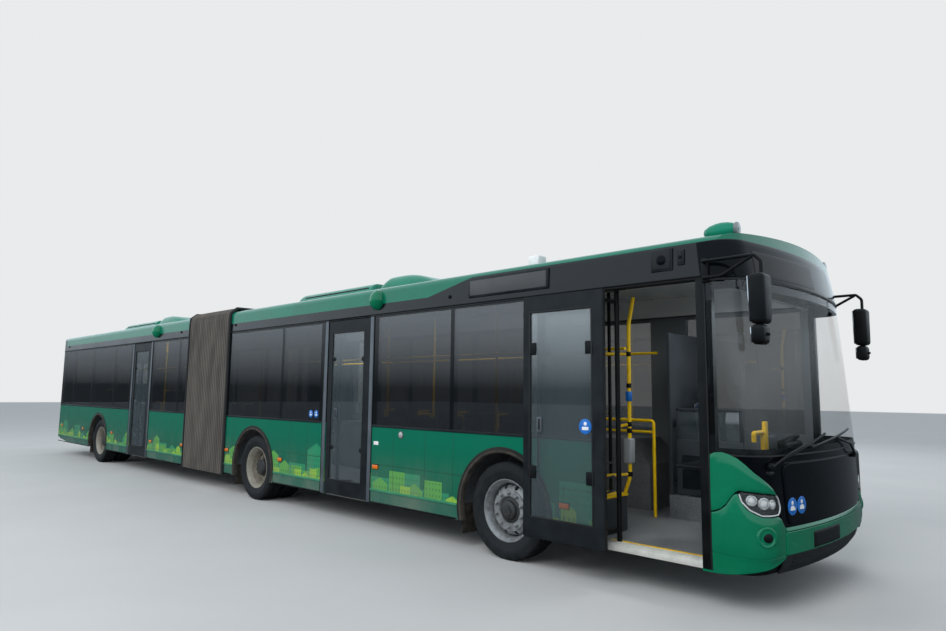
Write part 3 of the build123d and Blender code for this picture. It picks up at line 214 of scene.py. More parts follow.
def livery(name):
    """Two-pack gloss enamel on the side panels: green with printed blocks low down,
    black behind the glass line, road film near the skirt, and grey laminate inside."""
    skin = Finish(name, coat=0.35, coat_rough=0.05, specular=0.14)
    x, y, z = skin.x, skin.y, skin.z
    film = skin.noise(0.35, 5.0, (1.0, 1.0, 0.35))
    green = z.ramp(0.5, 1.1).mix("166049", "006a52")
    pane_width, pane_height = 0.052, 0.066
    layers = (
        # cell length, shift, lowest top, height, colour
        (0.47, 0.1, 0.5, 0.36, "2a8a63"),
        (0.31, 0.37, 0.47, 0.26, "5aa04e"),
        (0.19, 0.05, 0.44, 0.17, "8dbb45"),
    )
    for cell, shift, low, height, colour in layers:
        along = x / cell + shift
        chance = z.node("TexWhiteNoise", {"W": along.math("FLOOR")}, noise_dimensions="1D")
        share = along.math("FRACT")
        top = chance.ramp(0.25, 1.0, low, low + height)
        gable = (0.5 - abs(share - 0.45)) * ((chance * 7.0).math("FRACT") < 0.5) * (cell * 0.5)
        solid = share < 0.9
        green = ((z < top + gable) * solid).mix(green, colour)
        panes = ((x / pane_width).math("FRACT") > 0.6) * ((z / pane_height).math("FRACT") > 0.55)
        green = (panes * (z < top - 0.02) * (solid * 0.45)).mix(green, "14503c")
    rail_z = 0.467
    green = (z < rail_z).mix(green, "2d6354")
    grime = film.ramp(0.35, 0.75) * z.ramp(0.32, 0.95, 0.7, 0.015)
    green = grime.mix(green, "6f7a6e")
    flare_edge = 0.626
    for axle_x in (front_axle_x, middle_axle_x, rear_axle_x):
        flare = abs(x - axle_x) ** 2.0 + abs(z - wheel_z) ** 2.0 < flare_edge ** 2
        green = flare.mix(green, film.mix("1d1f20", "3b3936"))
    glass_line_z, black_from_x = 1.226, 8.36
    outside = ((z > glass_line_z) | (x > black_from_x)).mix(green, film.mix("06080b", "0e1114"))
    laminate = film.mix("5e6468", "6a7074")
    outer_skin_y, tail_x = 1.262, -8.92
    colour = ((abs(y) > outer_skin_y) | (x < tail_x)).mix(laminate, outside)
    return skin.made(colour, grime.ramp(0.0, 0.6, 0.16, 0.5), skin.noise(0.9, 1.0), 0.002, 0.15)


def roof_paint(name):
    """Gloss enamel on the roof, black along the cantrail, pale laminate on the ceiling."""
    skin = Finish(name, coat=0.4, coat_rough=0.06, specular=0.2)
    film = skin.noise(0.5, 5.0)
    edge = skin.x.ramp(5.15, 5.85, 2.716, 2.874)
    outside = (skin.z < edge).mix(film.ramp(0.3, 0.7).mix("04684f", "0a7058"), film.mix("090b0e", "101316"))
    ceiling_half, ceiling_z, cab_end_x = 1.1, 2.8, 8.5
    inside = (abs(skin.y) < ceiling_half) * ((skin.z < ceiling_z) * (skin.x < cab_end_x))
    return skin.made(inside.mix(outside, film.mix("a9adaf", "b6babc")), film.ramp(0.2, 0.8, 0.18, 0.34),
                     skin.noise(0.8, 1.0), 0.002, 0.15)


def glazing(name, first, second, alpha, rough, mirrored=1.5):
    """Toughened glass: tinted, with a faint film of water marks, mirroring the sky as a whole pane does."""
    pane = Finish(name, ior=mirrored, alpha=alpha, rough=rough)
    return pane.made(pane.noise(0.25, 4.0, (1.0, 1.0, 0.3)).mix(first, second))


def dot_matrix(name, dark, light, diode):
    """Smoked acrylic over a regular field of unlit amber diodes."""
    field = Finish(name, rough=0.3, ior=1.49, specular=0.12)
    along = ((field.x + field.y) * 286.0).math("SINE")
    dots = (along * (field.z * 286.0).math("SINE")).ramp(0.25, 0.6)
    return field.made(dots.mix(field.noise(0.2).mix(dark, light), diode))


def lamp_plastic(name, deep, bright):
    """Moulded lens plastic with a fine ribbed pattern behind a smooth face."""
    lens = Finish(name, rough=0.12, ior=1.49, coat=0.5)
    ribs = lens.ribs(60.0)
    return lens.made(ribs.mix(deep, bright), None, ribs, 0.001, 0.3)


def speckled_floor(name):
    """Homogeneous vinyl safety floor: grey with pale and dark flecks, scuffed in the walkway."""
    vinyl = Finish(name, ior=1.5)
    flecks = vinyl.flecks(70.0)
    scuffs = vinyl.noise(0.5, 6.0)
    colour = flecks.ramp(0.0, 0.35).mix("9a9d9e", scuffs.ramp(0.3, 0.7).mix("54585c", "777b7e"))
    return vinyl.made(colour, scuffs.ramp(0.3, 0.7, 0.45, 0.7), flecks, 0.0005, 0.3)


def pleated_fabric(name):
    """Rubberised polyester of the bellows: brown-grey, matt, with blots of dust, painted shade darkening the
    valleys between the pleats, and a fine weave.
    """
    cloth = Finish(name, sheen=0.15, ior=1.45)
    dust = cloth.noise(0.18, 5.0, (1.0, 1.0, 0.25))
    pleats_per_metre = bellows_pleats / (front_section_end - rear_section_start)
    # painted shade: the cloth turns near-black in each pleat's valley, where shade falls
    valley_shade = ((cloth.x - front_section_end) * (2 * math.pi * pleats_per_metre)).math("COSINE").ramp(-1.0, 0.9)
    colour = valley_shade.mix(dust.ramp(0.3, 0.7).mix("57534f", "7a756f"), "1c1a19")
    seam = abs(cloth.x - pivot_x) < 0.012
    return cloth.made(seam.mix(colour, "151515"), dust.ramp(0.2, 0.8, 0.65, 0.85), cloth.ribs(120.0),
                      0.0006, 0.3)


def seat_cloth(name):
    """Wool moquette: dark blue-grey pile with small woven flecks."""
    cloth = Finish(name, sheen=0.4, ior=1.4, rough=0.9)
    flecks = cloth.flecks(45.0)
    return cloth.made(flecks.ramp(0.1, 0.5).mix("4a5a70", "1d2a3c"), None, flecks, 0.001, 0.4)


def tyre_rubber(name):
    """Vulcanised tread rubber: charcoal, chalky with road dust on the side walls."""
    rubber = Finish(name, ior=1.5)
    dust = rubber.noise(0.06, 5.0)
    return rubber.made(dust.ramp(0.35, 0.7).mix("0f1113", "222427"), dust.ramp(0.3, 0.7, 0.7, 0.9),
                       rubber.noise(0.004, 3.0), 0.001, 0.4)


def worn_steel(name, base, worn, rust, rough, metallic):
    """Pressed steel with a sprayed coat, rubbed bright and rusting where nuts and edges trap water."""
    steel = Finish(name, ior=1.5, metal=metallic)
    patches = steel.noise(0.05, 6.0)
    spots = steel.noise(0.012, 4.0)
    coat = patches.ramp(0.35, 0.65).mix(base, worn)
    return steel.made(spots.ramp(0.6, 0.72, 0.0, 0.7).mix(coat, rust),
                      patches.ramp(0.3, 0.7, rough - 0.1, rough + 0.15), spots, 0.001, 0.3)


side_enamel = livery("two_pack_enamel_livery")
roof_enamel = roof_paint("two_pack_enamel_roof")
green_enamel = coating("two_pack_enamel_green", "006a49", "027453", 0.5, 0.2, 0.3, 0.8, 0.002,
                       coat=0.55, coat_rough=0.03, specular=0.12)
pod_enamel = coating("two_pack_enamel_roof_pods", "08745a", "108066", 0.4, 0.2, 0.34, 0.6, 0.002,
                     coat=0.15, specular=0.2)
trim_green = coating("polyester_powder_trim_green", "34805f", "418c6b", 0.3, 0.3, 0.45, specular=0.3)
gloss_black = coating("lacquered_acrylic_black", "05070b", "0a0d12", 0.4, 0.08, 0.18, 0.5, 0.001,
                      specular=0.1)
satin_black = coating("moulded_polypropylene_black", "090b0d", "121416", 0.15, 0.4, 0.55, specular=0.2)
dark_alloy = coating("anodised_aluminium_dark", "14181c", "1e2327", 0.2, 0.32, 0.48, specular=0.2)
slate_alloy = coating("anodised_aluminium_slate", "4a525a", "586068", 0.25, 0.35, 0.5, specular=0.3)
bright_alloy = coating("extruded_aluminium", "b3b4af", "cccdc7", 0.08, 0.28, 0.42, metal=0.6)
sill_alloy = coating("anodised_aluminium_sill", "c6c7c1", "dadad4", 0.1, 0.3, 0.45, metal=0.2)
# painted reflection: a pale base colour with little metal makes the reflector bright all over, standing in
# for what its chrome mirrors
painted_bright_chrome = coating("vacuum_metallised_reflector", "c4c8cb", "e2e5e7", 0.03, 0.1, 0.22, metal=0.4)
mirror_silver = coating("silvered_glass", "b5bcc0", "c0c6ca", 0.5, 0.02, 0.04, metal=1.0)
black_rubber = coating("epdm_rubber_black", "121314", "1c1d1e", 0.1, 0.6, 0.75, ior=1.5)
flap_rubber = coating("moulded_rubber_muddy", "26241f", "45403a", 0.08, 0.75, 0.9, ior=1.5)
bumper_grey = coating("moulded_polypropylene_grey", "1d2022", "282b2d", 0.12, 0.5, 0.65, specular=0.3)
cab_grey = coating("abs_panel_dark_grey", "2f3539", "3a4045", 0.3, 0.4, 0.55, ior=1.5)
pale_panel = coating("laminate_panel_pale_grey", "8f9496", "9da1a3", 0.4, 0.35, 0.5, ior=1.5)
rail_yellow = coating("powder_coated_tube_yellow", "f4c400", "ffd60c", 0.1, 0.25, 0.4, ior=1.5)
sign_blue = coating("vinyl_film_blue", "0a63b8", "1270c8", 0.05, 0.25, 0.35, ior=1.5)
sign_white = coating("vinyl_film_white", "dfe3e6", "eff2f4", 0.05, 0.3, 0.4, ior=1.5)
chassis_black = coating("chassis_primer_black", "1b1c1d", "2c2b29", 0.12, 0.6, 0.8, ior=1.5)
cast_grey = coating("cast_iron_engine_grey", "4c4e4f", "5a5b5a", 0.1, 0.5, 0.7, ior=1.5)
seat_shell = coating("moulded_shell_grey", "33393f", "3e444a", 0.2, 0.4, 0.5, ior=1.5)
welt_cord = coating("woven_welt_cord_black", "16181b", "22252a", 0.02, 0.8, 0.95, 0.002, sheen=0.3)
side_glass = glazing("toughened_glass_grey_tint", "03050a", "080c12", 0.7, 0.01, 2.2)
clear_glass = glazing("laminated_glass_clear", "2c3634", "38423f", 0.1, 0.01, 2.8)
# painted reflection, partly: the door glass's pale grey-blue tint is partly the glass's own tint and partly
# stands in for the sky mirrored in it
door_glass = glazing("toughened_glass_door", "46565c", "57676d", 0.32, 0.015, 4.0)
lamp_cover = glazing("polycarbonate_lamp_cover", "8c9496", "9aa2a4", 0.07, 0.02)
display_field = dot_matrix("smoked_acrylic_dot_matrix", "0a0b0e", "121419", "33210f")
side_field = dot_matrix("matt_acrylic_dot_matrix", "3f444a", "51575e", "5e5648")
amber_lens = lamp_plastic("acrylic_lens_amber", "c45a05", "f08418")
red_lens = lamp_plastic("acrylic_lens_red", "8e0a0a", "c81818")
white_lens = lamp_plastic("acrylic_lens_white", "c9ced0", "eef1f2")
marker_lens = lamp_plastic("acrylic_lens_smoke", "4a5054", "8b9396")
vinyl_floor = speckled_floor("vinyl_safety_floor")
bellows_cloth = pleated_fabric("rubberised_fabric_bellows")
moquette = seat_cloth("wool_moquette_blue_grey")
rubber_tread = tyre_rubber("tread_rubber")
front_steel = worn_steel("galvanised_steel_wheel", "8d9092", "a9acae", "6a5344", 0.42, 0.6)
cream_steel = worn_steel("sprayed_steel_wheel_cream", "8a867b", "a09c90", "6e5a48", 0.5, 0.15)
hub_steel = worn_steel("cast_hub_dark", "3a3b3c", "4b4c4d", "5c4a3e", 0.55, 0.5)


# Helpers that model as by hand. Finished parts lie on the bench until they are gathered into a piece
bench = []


def only(obj):
    """Leaves just this object selected and active."""
    bpy.ops.object.select_all(action="DESELECT")
    obj.select_set(True)
    bpy.context.view_layer.objects.active = obj


def settle(obj):
    """Puts the object's place, turn and size into its mesh."""
    only(obj)
    bpy.ops.object.transform_apply(location=True, rotation=True, scale=True)
    return obj


def edit(obj, *steps):
    """Runs edit-mode operators, each as (operator, settings), on everything selected."""
    only(obj)
    bpy.ops.object.mode_set(mode="EDIT")
    bpy.ops.mesh.select_all(action="SELECT")
    for operator, settings in steps:
        operator(**settings)
    bpy.ops.object.mode_set(mode="OBJECT")


def apply_modifier(obj, kind, **settings):
    only(obj)
    modifier = obj.modifiers.new(kind, kind)
    for key, value in settings.items():
        setattr(modifier, key, value)
    bpy.ops.object.modifier_apply(modifier=modifier.name)


def round_rims(obj, width):
    apply_modifier(obj, "BEVEL", width=width, segments=2, limit_method="ANGLE", angle_limit=math.radians(50))


def paint(obj, material):
    obj.data.materials.clear()
    obj.data.materials.append(material)
    return obj


def smooth(obj, degrees=35):
    only(obj)
    bpy.ops.object.shade_smooth_by_angle(angle=math.radians(degrees))
    return obj


def lay(obj, material, degrees=35):
    """Paints and shades a part and lays it on the bench."""
    bench.append(smooth(paint(obj, material), degrees))
    return obj


def move(matrix, parts):
    for part in parts:
        part.data.transform(matrix)


def grid(across, up):
    """A flat grid of one metre, and its points with their shares of the way across and up."""
    bpy.ops.mesh.primitive_grid_add(x_subdivisions=across, y_subdivisions=up, size=1)
    obj = settle(bpy.context.object)
    return obj, [(v, v.co.x + 0.5, v.co.y + 0.5) for v in obj.data.vertices]


def bar(x, y, z, material, edge=0.004, segments=2):
    """A block between two corners, given as ranges, with rounded edges."""
    size = [abs(r[1] - r[0]) for r in (x, y, z)]
    middle = [(r[0] + r[1]) / 2 for r in (x, y, z)]
    bpy.ops.mesh.primitive_cube_add(size=1, location=middle, scale=size)
    obj = settle(bpy.context.object)
    edge = min(edge, min(size) * 0.4)
    edit(obj, (bpy.ops.mesh.bevel, {"offset": edge, "segments": segments, "affect": "EDGES"}))
    return lay(obj, material)


def disc(centre, axis, radius, depth, material, edge=0.003, vertices=32):
    """A short round bar standing on its axis, with rounded rims."""
    turn = Vector(upright).rotation_difference(Vector(axis)).to_euler()
    bpy.ops.mesh.primitive_cylinder_add(vertices=vertices, radius=radius, depth=depth,
                                        location=centre, rotation=turn)
    obj = settle(bpy.context.object)
    round_rims(obj, min(edge, depth * 0.4))
    return lay(obj, material)


def tube(points, radius, material, corner=0.06):
    """A bent tube: straight runs with its corners eased over the given length."""
    points = [Vector(point) for point in points]
    route = [points[0]]
    for before, here, after in zip(points, points[1:], points[2:]):
        ease = min(corner, (before - here).length * 0.45, (after - here).length * 0.45)
        route += [here + (before - here).normalized() * ease, here, here + (after - here).normalized() * ease]
    route.append(points[-1])
    data = bpy.data.curves.new("tube", "CURVE")
    data.dimensions = "3D"
    spline = data.splines.new("NURBS")
    spline.points.add(len(route) - 1)
    for point, place in zip(spline.points, route):
        point.co = (*place, 1)
    spline.order_u = 3
    spline.use_endpoint_u = True
    spline.resolution_u = 3
    data.bevel_depth = radius
    data.bevel_resolution = 3
    data.use_fill_caps = True
    obj = bpy.data.objects.new("tube", data)
    scene.collection.objects.link(obj)
    only(obj)
    bpy.ops.object.convert(target="MESH")
    return lay(bpy.context.object, material, 50)


def turned(profile, material, steps=48, axis="Y", degrees=30):
    """A closed section, as (radius, place along the axis), spun about that axis through the origin."""
    bpy.ops.mesh.primitive_circle_add(vertices=len(profile), radius=1)
    obj = settle(bpy.context.object)
    for vertex, (radius, along) in zip(obj.data.vertices, profile):
        vertex.co = (0, along, radius) if axis == "Y" else (radius, 0, along)
    line = sideways if axis == "Y" else upright
    edit(obj, (bpy.ops.mesh.spin, {"steps": steps, "angle": 2 * math.pi, "center": (0, 0, 0), "axis": line}),
         (bpy.ops.mesh.select_all, {"action": "SELECT"}),
         (bpy.ops.mesh.remove_doubles, {"threshold": 0.0001}),
         (bpy.ops.mesh.normals_make_consistent, {"inside": False}))
    return lay(obj, material, degrees)


def copy_at(obj, matrix):
    """A copy with its own mesh, moved by the matrix and laid on the bench."""
    twin = obj.copy()
    twin.data = obj.data.copy()
    scene.collection.objects.link(twin)
    twin.data.transform(matrix)
    bench.append(twin)
    return twin


def mirror_bench(parts=None):
    """Copies parts, or all that lies on the bench, to the bus's other side, with their faces put right."""
    for part in list(parts or bench):
        twin = copy_at(part, Matrix.Scale(-1, 4, sideways))
        edit(twin, (bpy.ops.mesh.flip_normals, {}))


def gather(name, body=None):
    """Joins all that lies on the bench into one named piece that rides on a body."""
    bpy.ops.object.select_all(action="DESELECT")
    for part in bench:
        part.select_set(True)
    piece = bpy.context.view_layer.objects.active = bench[0]
    if len(bench) > 1:
        bpy.ops.object.join()
    bench.clear()
    piece.name = piece.data.name = name
    if body:
        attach(piece, body)
    return piece


def discard(obj):
    bpy.data.objects.remove(obj, do_unlink=True)


# The nose: a plan arc with rounded corners, whose tip leans back with height
nose_tips = ((0.293, 8.925), (0.36, 8.968), (0.45, 8.994), (0.62, 8.996), (1.13, 8.98), (2.54, 8.875),
             (3.0, 8.795))
nose_sagitta = 0.165
nose_corner = 0.23
nose_radius = (half_width ** 2 + nose_sagitta ** 2) / (2 * nose_sagitta)
nose_angle = math.asin((half_width - nose_corner) / (nose_radius - nose_corner))
nose_arc = nose_radius * nose_angle
nose_bend = nose_corner * (math.pi / 2 - nose_angle)
nose_depth = nose_radius - math.sqrt((nose_radius - nose_corner) ** 2 - (half_width - nose_corner) ** 2)


def tip_x(z):
    for (z0, x0), (z1, x1) in zip(nose_tips, nose_tips[1:]):
        if z <= z1:
            return x0 + (x1 - x0) * (z - z0) / (z1 - z0)
    return nose_tips[-1][1]


def nose_point(s, z, out=0.0):
    """The point s metres round the nose from its middle, to the left when positive, at height z."""
    tip = tip_x(z)
    side = 1 if s >= 0 else -1
    s = abs(s)
    if s <= nose_arc:
        a = s / nose_radius
        x = tip - nose_radius + (nose_radius + out) * math.cos(a)
        y = (nose_radius + out) * math.sin(a)
    elif s <= nose_arc + nose_bend:
        a = nose_angle + (s - nose_arc) / nose_corner
        x = tip - nose_depth + (nose_corner + out) * math.cos(a)
        y = half_width - nose_corner + (nose_corner + out) * math.sin(a)
    else:
        x = tip - nose_depth - (s - nose_arc - nose_bend)
        y = half_width + out
    return Vector((x, side * y, z))


def nose_normal(s, z):
    run = nose_point(s + 0.01, z) - nose_point(s - 0.01, z)
    return run.cross(Vector(upright)).normalized()


def facing_out(s, z, out):
    """Takes a part turned about Y from the origin to a place on the nose, facing outwards."""
    turn = Vector(sideways).rotation_difference(nose_normal(s, z)).to_matrix().to_4x4()
    return Matrix.Translation(nose_point(s, z, out)) @ turn


def curved(values, t):
    """A smooth curve through evenly spaced points, at t from 0 to 1."""
    last = len(values) - 1
    at = min(max(t, 0), 1) * last
    i = min(int(at), last - 1)
    f = at - i
    p0, p1, p2, p3 = (values[min(max(k, 0), last)] for k in (i - 1, i, i + 1, i + 2))
    return tuple(
        0.5 * (2 * b + (c - a) * f + (2 * a - 5 * b + 4 * c - d) * f * f + (3 * b - a - 3 * c + d) * f ** 3)
        for a, b, c, d in zip(p0, p1, p2, p3))


def straight(values, t):
    """Straight runs through evenly spaced points, at t from 0 to 1."""
    last = len(values) - 1
    at = min(max(t, 0), 1) * last
    i = min(int(at), last - 1)
    return tuple(a + (b - a) * (at - i) for a, b in zip(values[i], values[i + 1]))


def nose_sheet(rows, material, out=0.0, thickness=0.004, across=32, up=10, edge=0.0, curve=straight,
               swell=0.0):
    """A sheet laid on the nose. Each row lists (s, z) points from one end to the other, bottom row first."""
    obj, points = grid(across, up)
    for vertex, u, v in points:
        s, z = curve([curve(row, u) for row in rows], v)
        puff = swell * min(1.0, 6 * u, 6 * (1 - u)) * min(1.0, 5 * v, 5 * (1 - v))
        vertex.co = nose_point(s, z, out + puff)
    apply_modifier(obj, "SOLIDIFY", thickness=thickness, offset=-1)
    if edge:
        round_rims(obj, edge)
    return lay(obj, material, 40)


def nose_band(rows, material, *sheet, middle=0.0, **shape):
    """A sheet whose rows, as (half its run, z), lie evenly about a middle."""
    return nose_sheet([[(middle - s, z), (middle + s, z)] for s, z in rows], material, *sheet, **shape)


# CAD pieces with their finishes
kept = {
    side_enamel: "front_side_right front_side_left rear_side_right rear_side_left rear_end",
    roof_enamel: "front_roof rear_roof front_frame",
    side_glass: "front_windows rear_windows",
    door_glass: "leaf_glass_front leaf_glass_middle leaf_glass_rear",
    dark_alloy: "leaf_frame_front leaf_frame_middle leaf_frame_rear",
    satin_black: "door_arm_front door_arm_middle door_arm_rear mirrors wipers",
    vinyl_floor: "front_floor rear_floor",
    chassis_black: "front_axle middle_axle rear_axle knuckle_left knuckle_right",
    slate_alloy: "centre_hoop",
    cast_grey: "engine",
    cab_grey: "driver_cab cab_door",
    gloss_black: "destination_signs centre_panel",
    green_enamel: "front_mask engine_lid",
    pod_enamel: "front_roof_units rear_roof_units",
    seat_shell: "front_seats rear_seats",
    rail_yellow: "front_handrails rear_handrails",
    clear_glass: "windscreen",
    lamp_cover: "headlamps",
    red_lens: "rear_lamps",
    black_rubber: "steering_wheel",
    bellows_cloth: "bellows_front bellows_rear",
    rubber_tread: " ".join(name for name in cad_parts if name.startswith("tyre_")),
    front_steel: " ".join(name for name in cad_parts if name.startswith("rim_")),
}
for material, names in kept.items():
    for name in names.split():
        paint(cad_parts[name], material)


# Wheels, modelled with the outer face towards +Y and y = 0 at the outer tyre's middle
def section_of_tyre():
    """Closed section: bead, bulging side walls and five ribs of tread."""
    half = [(0.3, 0.104), (0.316, 0.116), (0.345, 0.128), (0.372, 0.1345), (0.376, 0.1365), (0.392, 0.1375),
            (0.424, 0.1365), (0.428, 0.1345), (0.446, 0.131), (0.462, 0.124), (0.472, 0.114)]
    for groove in (0.078, 0.027):
        half += [(0.476, groove + 0.006), (0.463, groove + 0.004),
                 (0.463, groove - 0.004), (0.476, groove - 0.006)]
    return half + [(r, -y) for r, y in reversed(half)] + [(0.33, -0.095), (0.33, 0.095)]


def nuts_ring(count, ring_radius, face_y, radius, height, material):
    """Wheel nuts on a ring, on the face turned to +Y."""
    for k in range(count):
        a = 2 * math.pi * (k + 0.5) / count
        x, z = ring_radius * math.cos(a), ring_radius * math.sin(a)
        disc((x, face_y + height / 2, z), sideways, radius, height, material, 0.003, 6)
        disc((x, face_y + height + 0.006, z), sideways, radius * 0.55, 0.014, material, 0.002, 10)


def pierced(profile, material, count, ring_radius, hole_radius, y):
    """A wheel disc with its hand holes."""
    plate = turned(profile, material, 60)
    others = bench[:-1]
    bench.clear()
    for k in range(count):
        a = 2 * math.pi * k / count
        bpy.ops.mesh.primitive_cylinder_add(
            vertices=14, radius=hole_radius, depth=0.2, rotation=(math.pi / 2, 0, 0),
            location=(ring_radius * math.cos(a), y, ring_radius * math.sin(a)))
        bench.append(settle(bpy.context.object))
    cutter = gather("cutter")
    apply_modifier(plate, "BOOLEAN", operation="DIFFERENCE", object=cutter, solver="EXACT")
    discard(cutter)
    bench.extend(others + [smooth(plate, 30)])


barrel = [(0.298, 0.116), (0.306, 0.116), (0.306, 0.108), (0.298, 0.1), (0.298, -0.1), (0.306, -0.108),
          (0.306, -0.116), (0.292, -0.116), (0.28, -0.095), (0.262, -0.08), (0.262, 0.055), (0.278, 0.09)]
outer_tyre_y = 1.085
twin_spacing = 0.312
turned(section_of_tyre(), rubber_tread, 64, degrees=25)
tyre = gather("tyre_model")

turned(barrel, front_steel, 60)
pierced([(0.262, -0.02), (0.24, 0.035), (0.205, 0.062), (0.13, 0.066), (0.13, 0.054), (0.198, 0.05),
         (0.232, 0.025), (0.262, -0.035)], front_steel, 10, 0.226, 0.021, 0.03)
turned([(0.205, 0.06), (0.203, 0.074), (0.14, 0.078), (0.128, 0.06)], front_steel, 48)
turned([(0.126, 0.04), (0.124, 0.064), (0.096, 0.07), (0.09, 0.098), (0.07, 0.108), (0.024, 0.11),
        (0.0, 0.11), (0.0, 0.04)], hub_steel, 40)
turned([(0.052, 0.108), (0.05, 0.118), (0.03, 0.121), (0.0, 0.121), (0.0, 0.105)], hub_steel, 24)
nuts_ring(10, 0.1675, 0.076, 0.018, 0.022, front_steel)
steer_rim = gather("steer_rim")

turned(barrel, cream_steel, 60)
turned([(r, y - twin_spacing) for r, y in barrel], cream_steel, 48)
pierced([(0.262, -0.11), (0.262, -0.096), (0.232, -0.062), (0.215, -0.052), (0.12, -0.05), (0.12, -0.062),
         (0.208, -0.064), (0.24, -0.1)], cream_steel, 8, 0.232, 0.026, -0.08)
turned([(0.262, 0.058), (0.262, -0.39), (0.256, -0.39), (0.256, 0.05)], cream_steel, 48)
turned([(0.14, -0.052), (0.138, -0.02), (0.118, -0.012), (0.116, 0.04), (0.098, 0.056), (0.06, 0.06),
        (0.0, 0.06), (0.0, -0.052)], hub_steel, 40)
nuts_ring(10, 0.1675, -0.052, 0.018, 0.024, cream_steel)
nuts_ring(8, 0.1, 0.054, 0.009, 0.006, hub_steel)
drive_rim = gather("drive_rim")

wheel_sets = (
    # axle, its x, rim, tyres side by side
    ("front", front_axle_x, steer_rim, 1),
    ("middle", middle_axle_x, drive_rim, 2),
    ("rear", rear_axle_x, drive_rim, 2),
)
for axle, x, rim, tyre_count in wheel_sets:
    for hand, side in (("left", 1), ("right", -1)):
        name = f"{axle}_{hand}"
        turn = Matrix.Rotation(0.0 if side > 0 else math.pi, 4, "Z")
        copy_at(rim, Matrix.Translation((x, side * outer_tyre_y, wheel_z)) @ turn)
        piece = gather(f"wheel_rim_{name}", f"wheel_{name}")
        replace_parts(piece, f"rim_{name}")
        for k in range(tyre_count):
            copy_at(tyre, Matrix.Translation((x, side * (outer_tyre_y - k * twin_spacing), wheel_z)) @ turn)
        piece = gather(f"wheel_tyre_{name}", f"wheel_{name}")
        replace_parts(piece, f"tyre_{name}")
for model in (tyre, steer_rim, drive_rim):
    discard(model)


# Bellows: fine pleats on an arch with rounded upper corners
bellows_half = 1.29
bellows_top = 2.99
bellows_foot = 0.29
bellows_turn = 0.13
pleat_depth = 0.052


def arch_point(t, depth):
    """A point on the arch at t from 0 on the right foot to 1 on the left, drawn in by depth."""
    half = bellows_half - depth
    top = bellows_top - depth
    r = max(bellows_turn - depth * 0.5, 0.02)
    leg = top - r - bellows_foot
    bend = r * math.pi / 2
    across = 2 * (half - r)
    run = t * (2 * leg + 2 * bend + across)
    if run <= leg:
        return -half, bellows_foot + run
    run -= leg
    if run <= bend:
        a = run / r
        return -half + r - r * math.cos(a), top - r + r * math.sin(a)
    run -= bend
    if run <= across:
        return -half + r + run, top
    run -= across
    if run <= bend:
        a = run / r
        return half - r + r * math.sin(a), top - r + r * math.cos(a)
    return half, top - r - (run - bend)


bellows, points = grid(bellows_pleats * 6, 72)
for vertex, u, v in points:
    wave = 0.5 - 0.5 * math.cos(2 * math.pi * u * bellows_pleats)
    y, z = arch_point(v, pleat_depth * (1 - wave) ** 1.3)
    vertex.co = (front_section_end + (rear_section_start - front_section_end) * u, y, z)
apply_modifier(bellows, "SOLIDIFY", thickness=0.004, offset=-1)
lay(bellows, bellows_cloth, 60)
bellows = gather("bellows_gaiter")
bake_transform(bellows)
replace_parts(bellows, "bellows_front", "bellows_rear")


# Front end: black apron and flap, green corners, bumper, lamps, plate
nose_band(((1.0, 0.655), (1.046, 0.76), (1.052, 0.872), (1.088, 0.905), (1.165, 0.985), (1.268, 1.07),
           (1.345, 1.135), (1.392, 1.168), (1.48, 1.196), (1.6, 1.214)), gloss_black, -0.006, 0.006, 56, 27)
nose_band(((0.93, 0.672), (0.95, 0.69), (0.975, 0.9), (0.985, 1.06), (0.965, 1.105), (0.9, 1.122)),
          gloss_black, 0.004, 0.012, 48, 15, 0.003)
# painted shadow: a thin black strip along the top of the flap, standing in for the shade of the gap there, in
# the rubber finish
nose_band(((0.95, 1.126), (0.96, 1.132)), black_rubber)
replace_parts(gather("front_apron_black", "front_section"), "centre_panel")

# edges of the right corner's mouldings, as (s, z)
corner_top = [(-1.612, 1.172), (-1.555, 1.2), (-1.495, 1.206), (-1.44, 1.192), (-1.382, 1.166),
              (-1.325, 1.118), (-1.274, 1.066), (-1.22, 1.024), (-1.17, 0.984), (-1.125, 0.944),
              (-1.092, 0.903)]
corner_seam = [(-1.632, 0.752), (-1.59, 0.762), (-1.535, 0.783), (-1.49, 0.822), (-1.452, 0.872),
               (-1.418, 0.912), (-1.385, 0.932), (-1.3, 0.926), (-1.22, 0.918), (-1.15, 0.91),
               (-1.096, 0.9)]
lower_top = [(-1.632, 0.742), (-1.585, 0.752), (-1.54, 0.77), (-1.492, 0.808), (-1.456, 0.858),
             (-1.424, 0.898), (-1.398, 0.905), (-1.376, 0.85), (-1.34, 0.795), (-1.29, 0.765),
             (-1.235, 0.742), (-1.16, 0.738), (-1.085, 0.742), (-1.046, 0.72), (-1.02, 0.68), (-1.0, 0.648)]
lower_crease = [(-1.632, 0.448), (-1.59, 0.446), (-1.54, 0.444), (-1.49, 0.442), (-1.45, 0.44),
                (-1.415, 0.438), (-1.38, 0.437), (-1.34, 0.436), (-1.3, 0.436), (-1.255, 0.437),
                (-1.21, 0.438), (-1.16, 0.44), (-1.115, 0.442), (-1.075, 0.444), (-1.04, 0.447),
                (-1.004, 0.452)]
lip_heights = (0.298, 0.298, 0.299, 0.301, 0.305, 0.31, 0.317, 0.325, 0.334, 0.344, 0.355, 0.367, 0.38,
               0.394, 0.41, 0.432)
lower_lip = [(s, z) for (s, _), z in zip(lower_crease, lip_heights)]


def moulding(low, high, share, out, thickness, across, up, swell):
    """A green moulding between two edges, fullest between them."""
    between = [tuple(a + (b - a) * share for a, b in zip(p, q)) for p, q in zip(low, high)]
    nose_sheet([low, between, high], green_enamel, out, thickness, across, up, 0.004, swell=swell)


moulding(corner_seam, corner_top, 0.5, 0.004, 0.014, 60, 12, 0.01)
moulding(lower_crease, lower_top, 0.5, 0.004, 0.016, 75, 16, 0.01)
moulding(lower_lip, lower_crease, 0.6, 0.006, 0.02, 75, 8, -0.004)
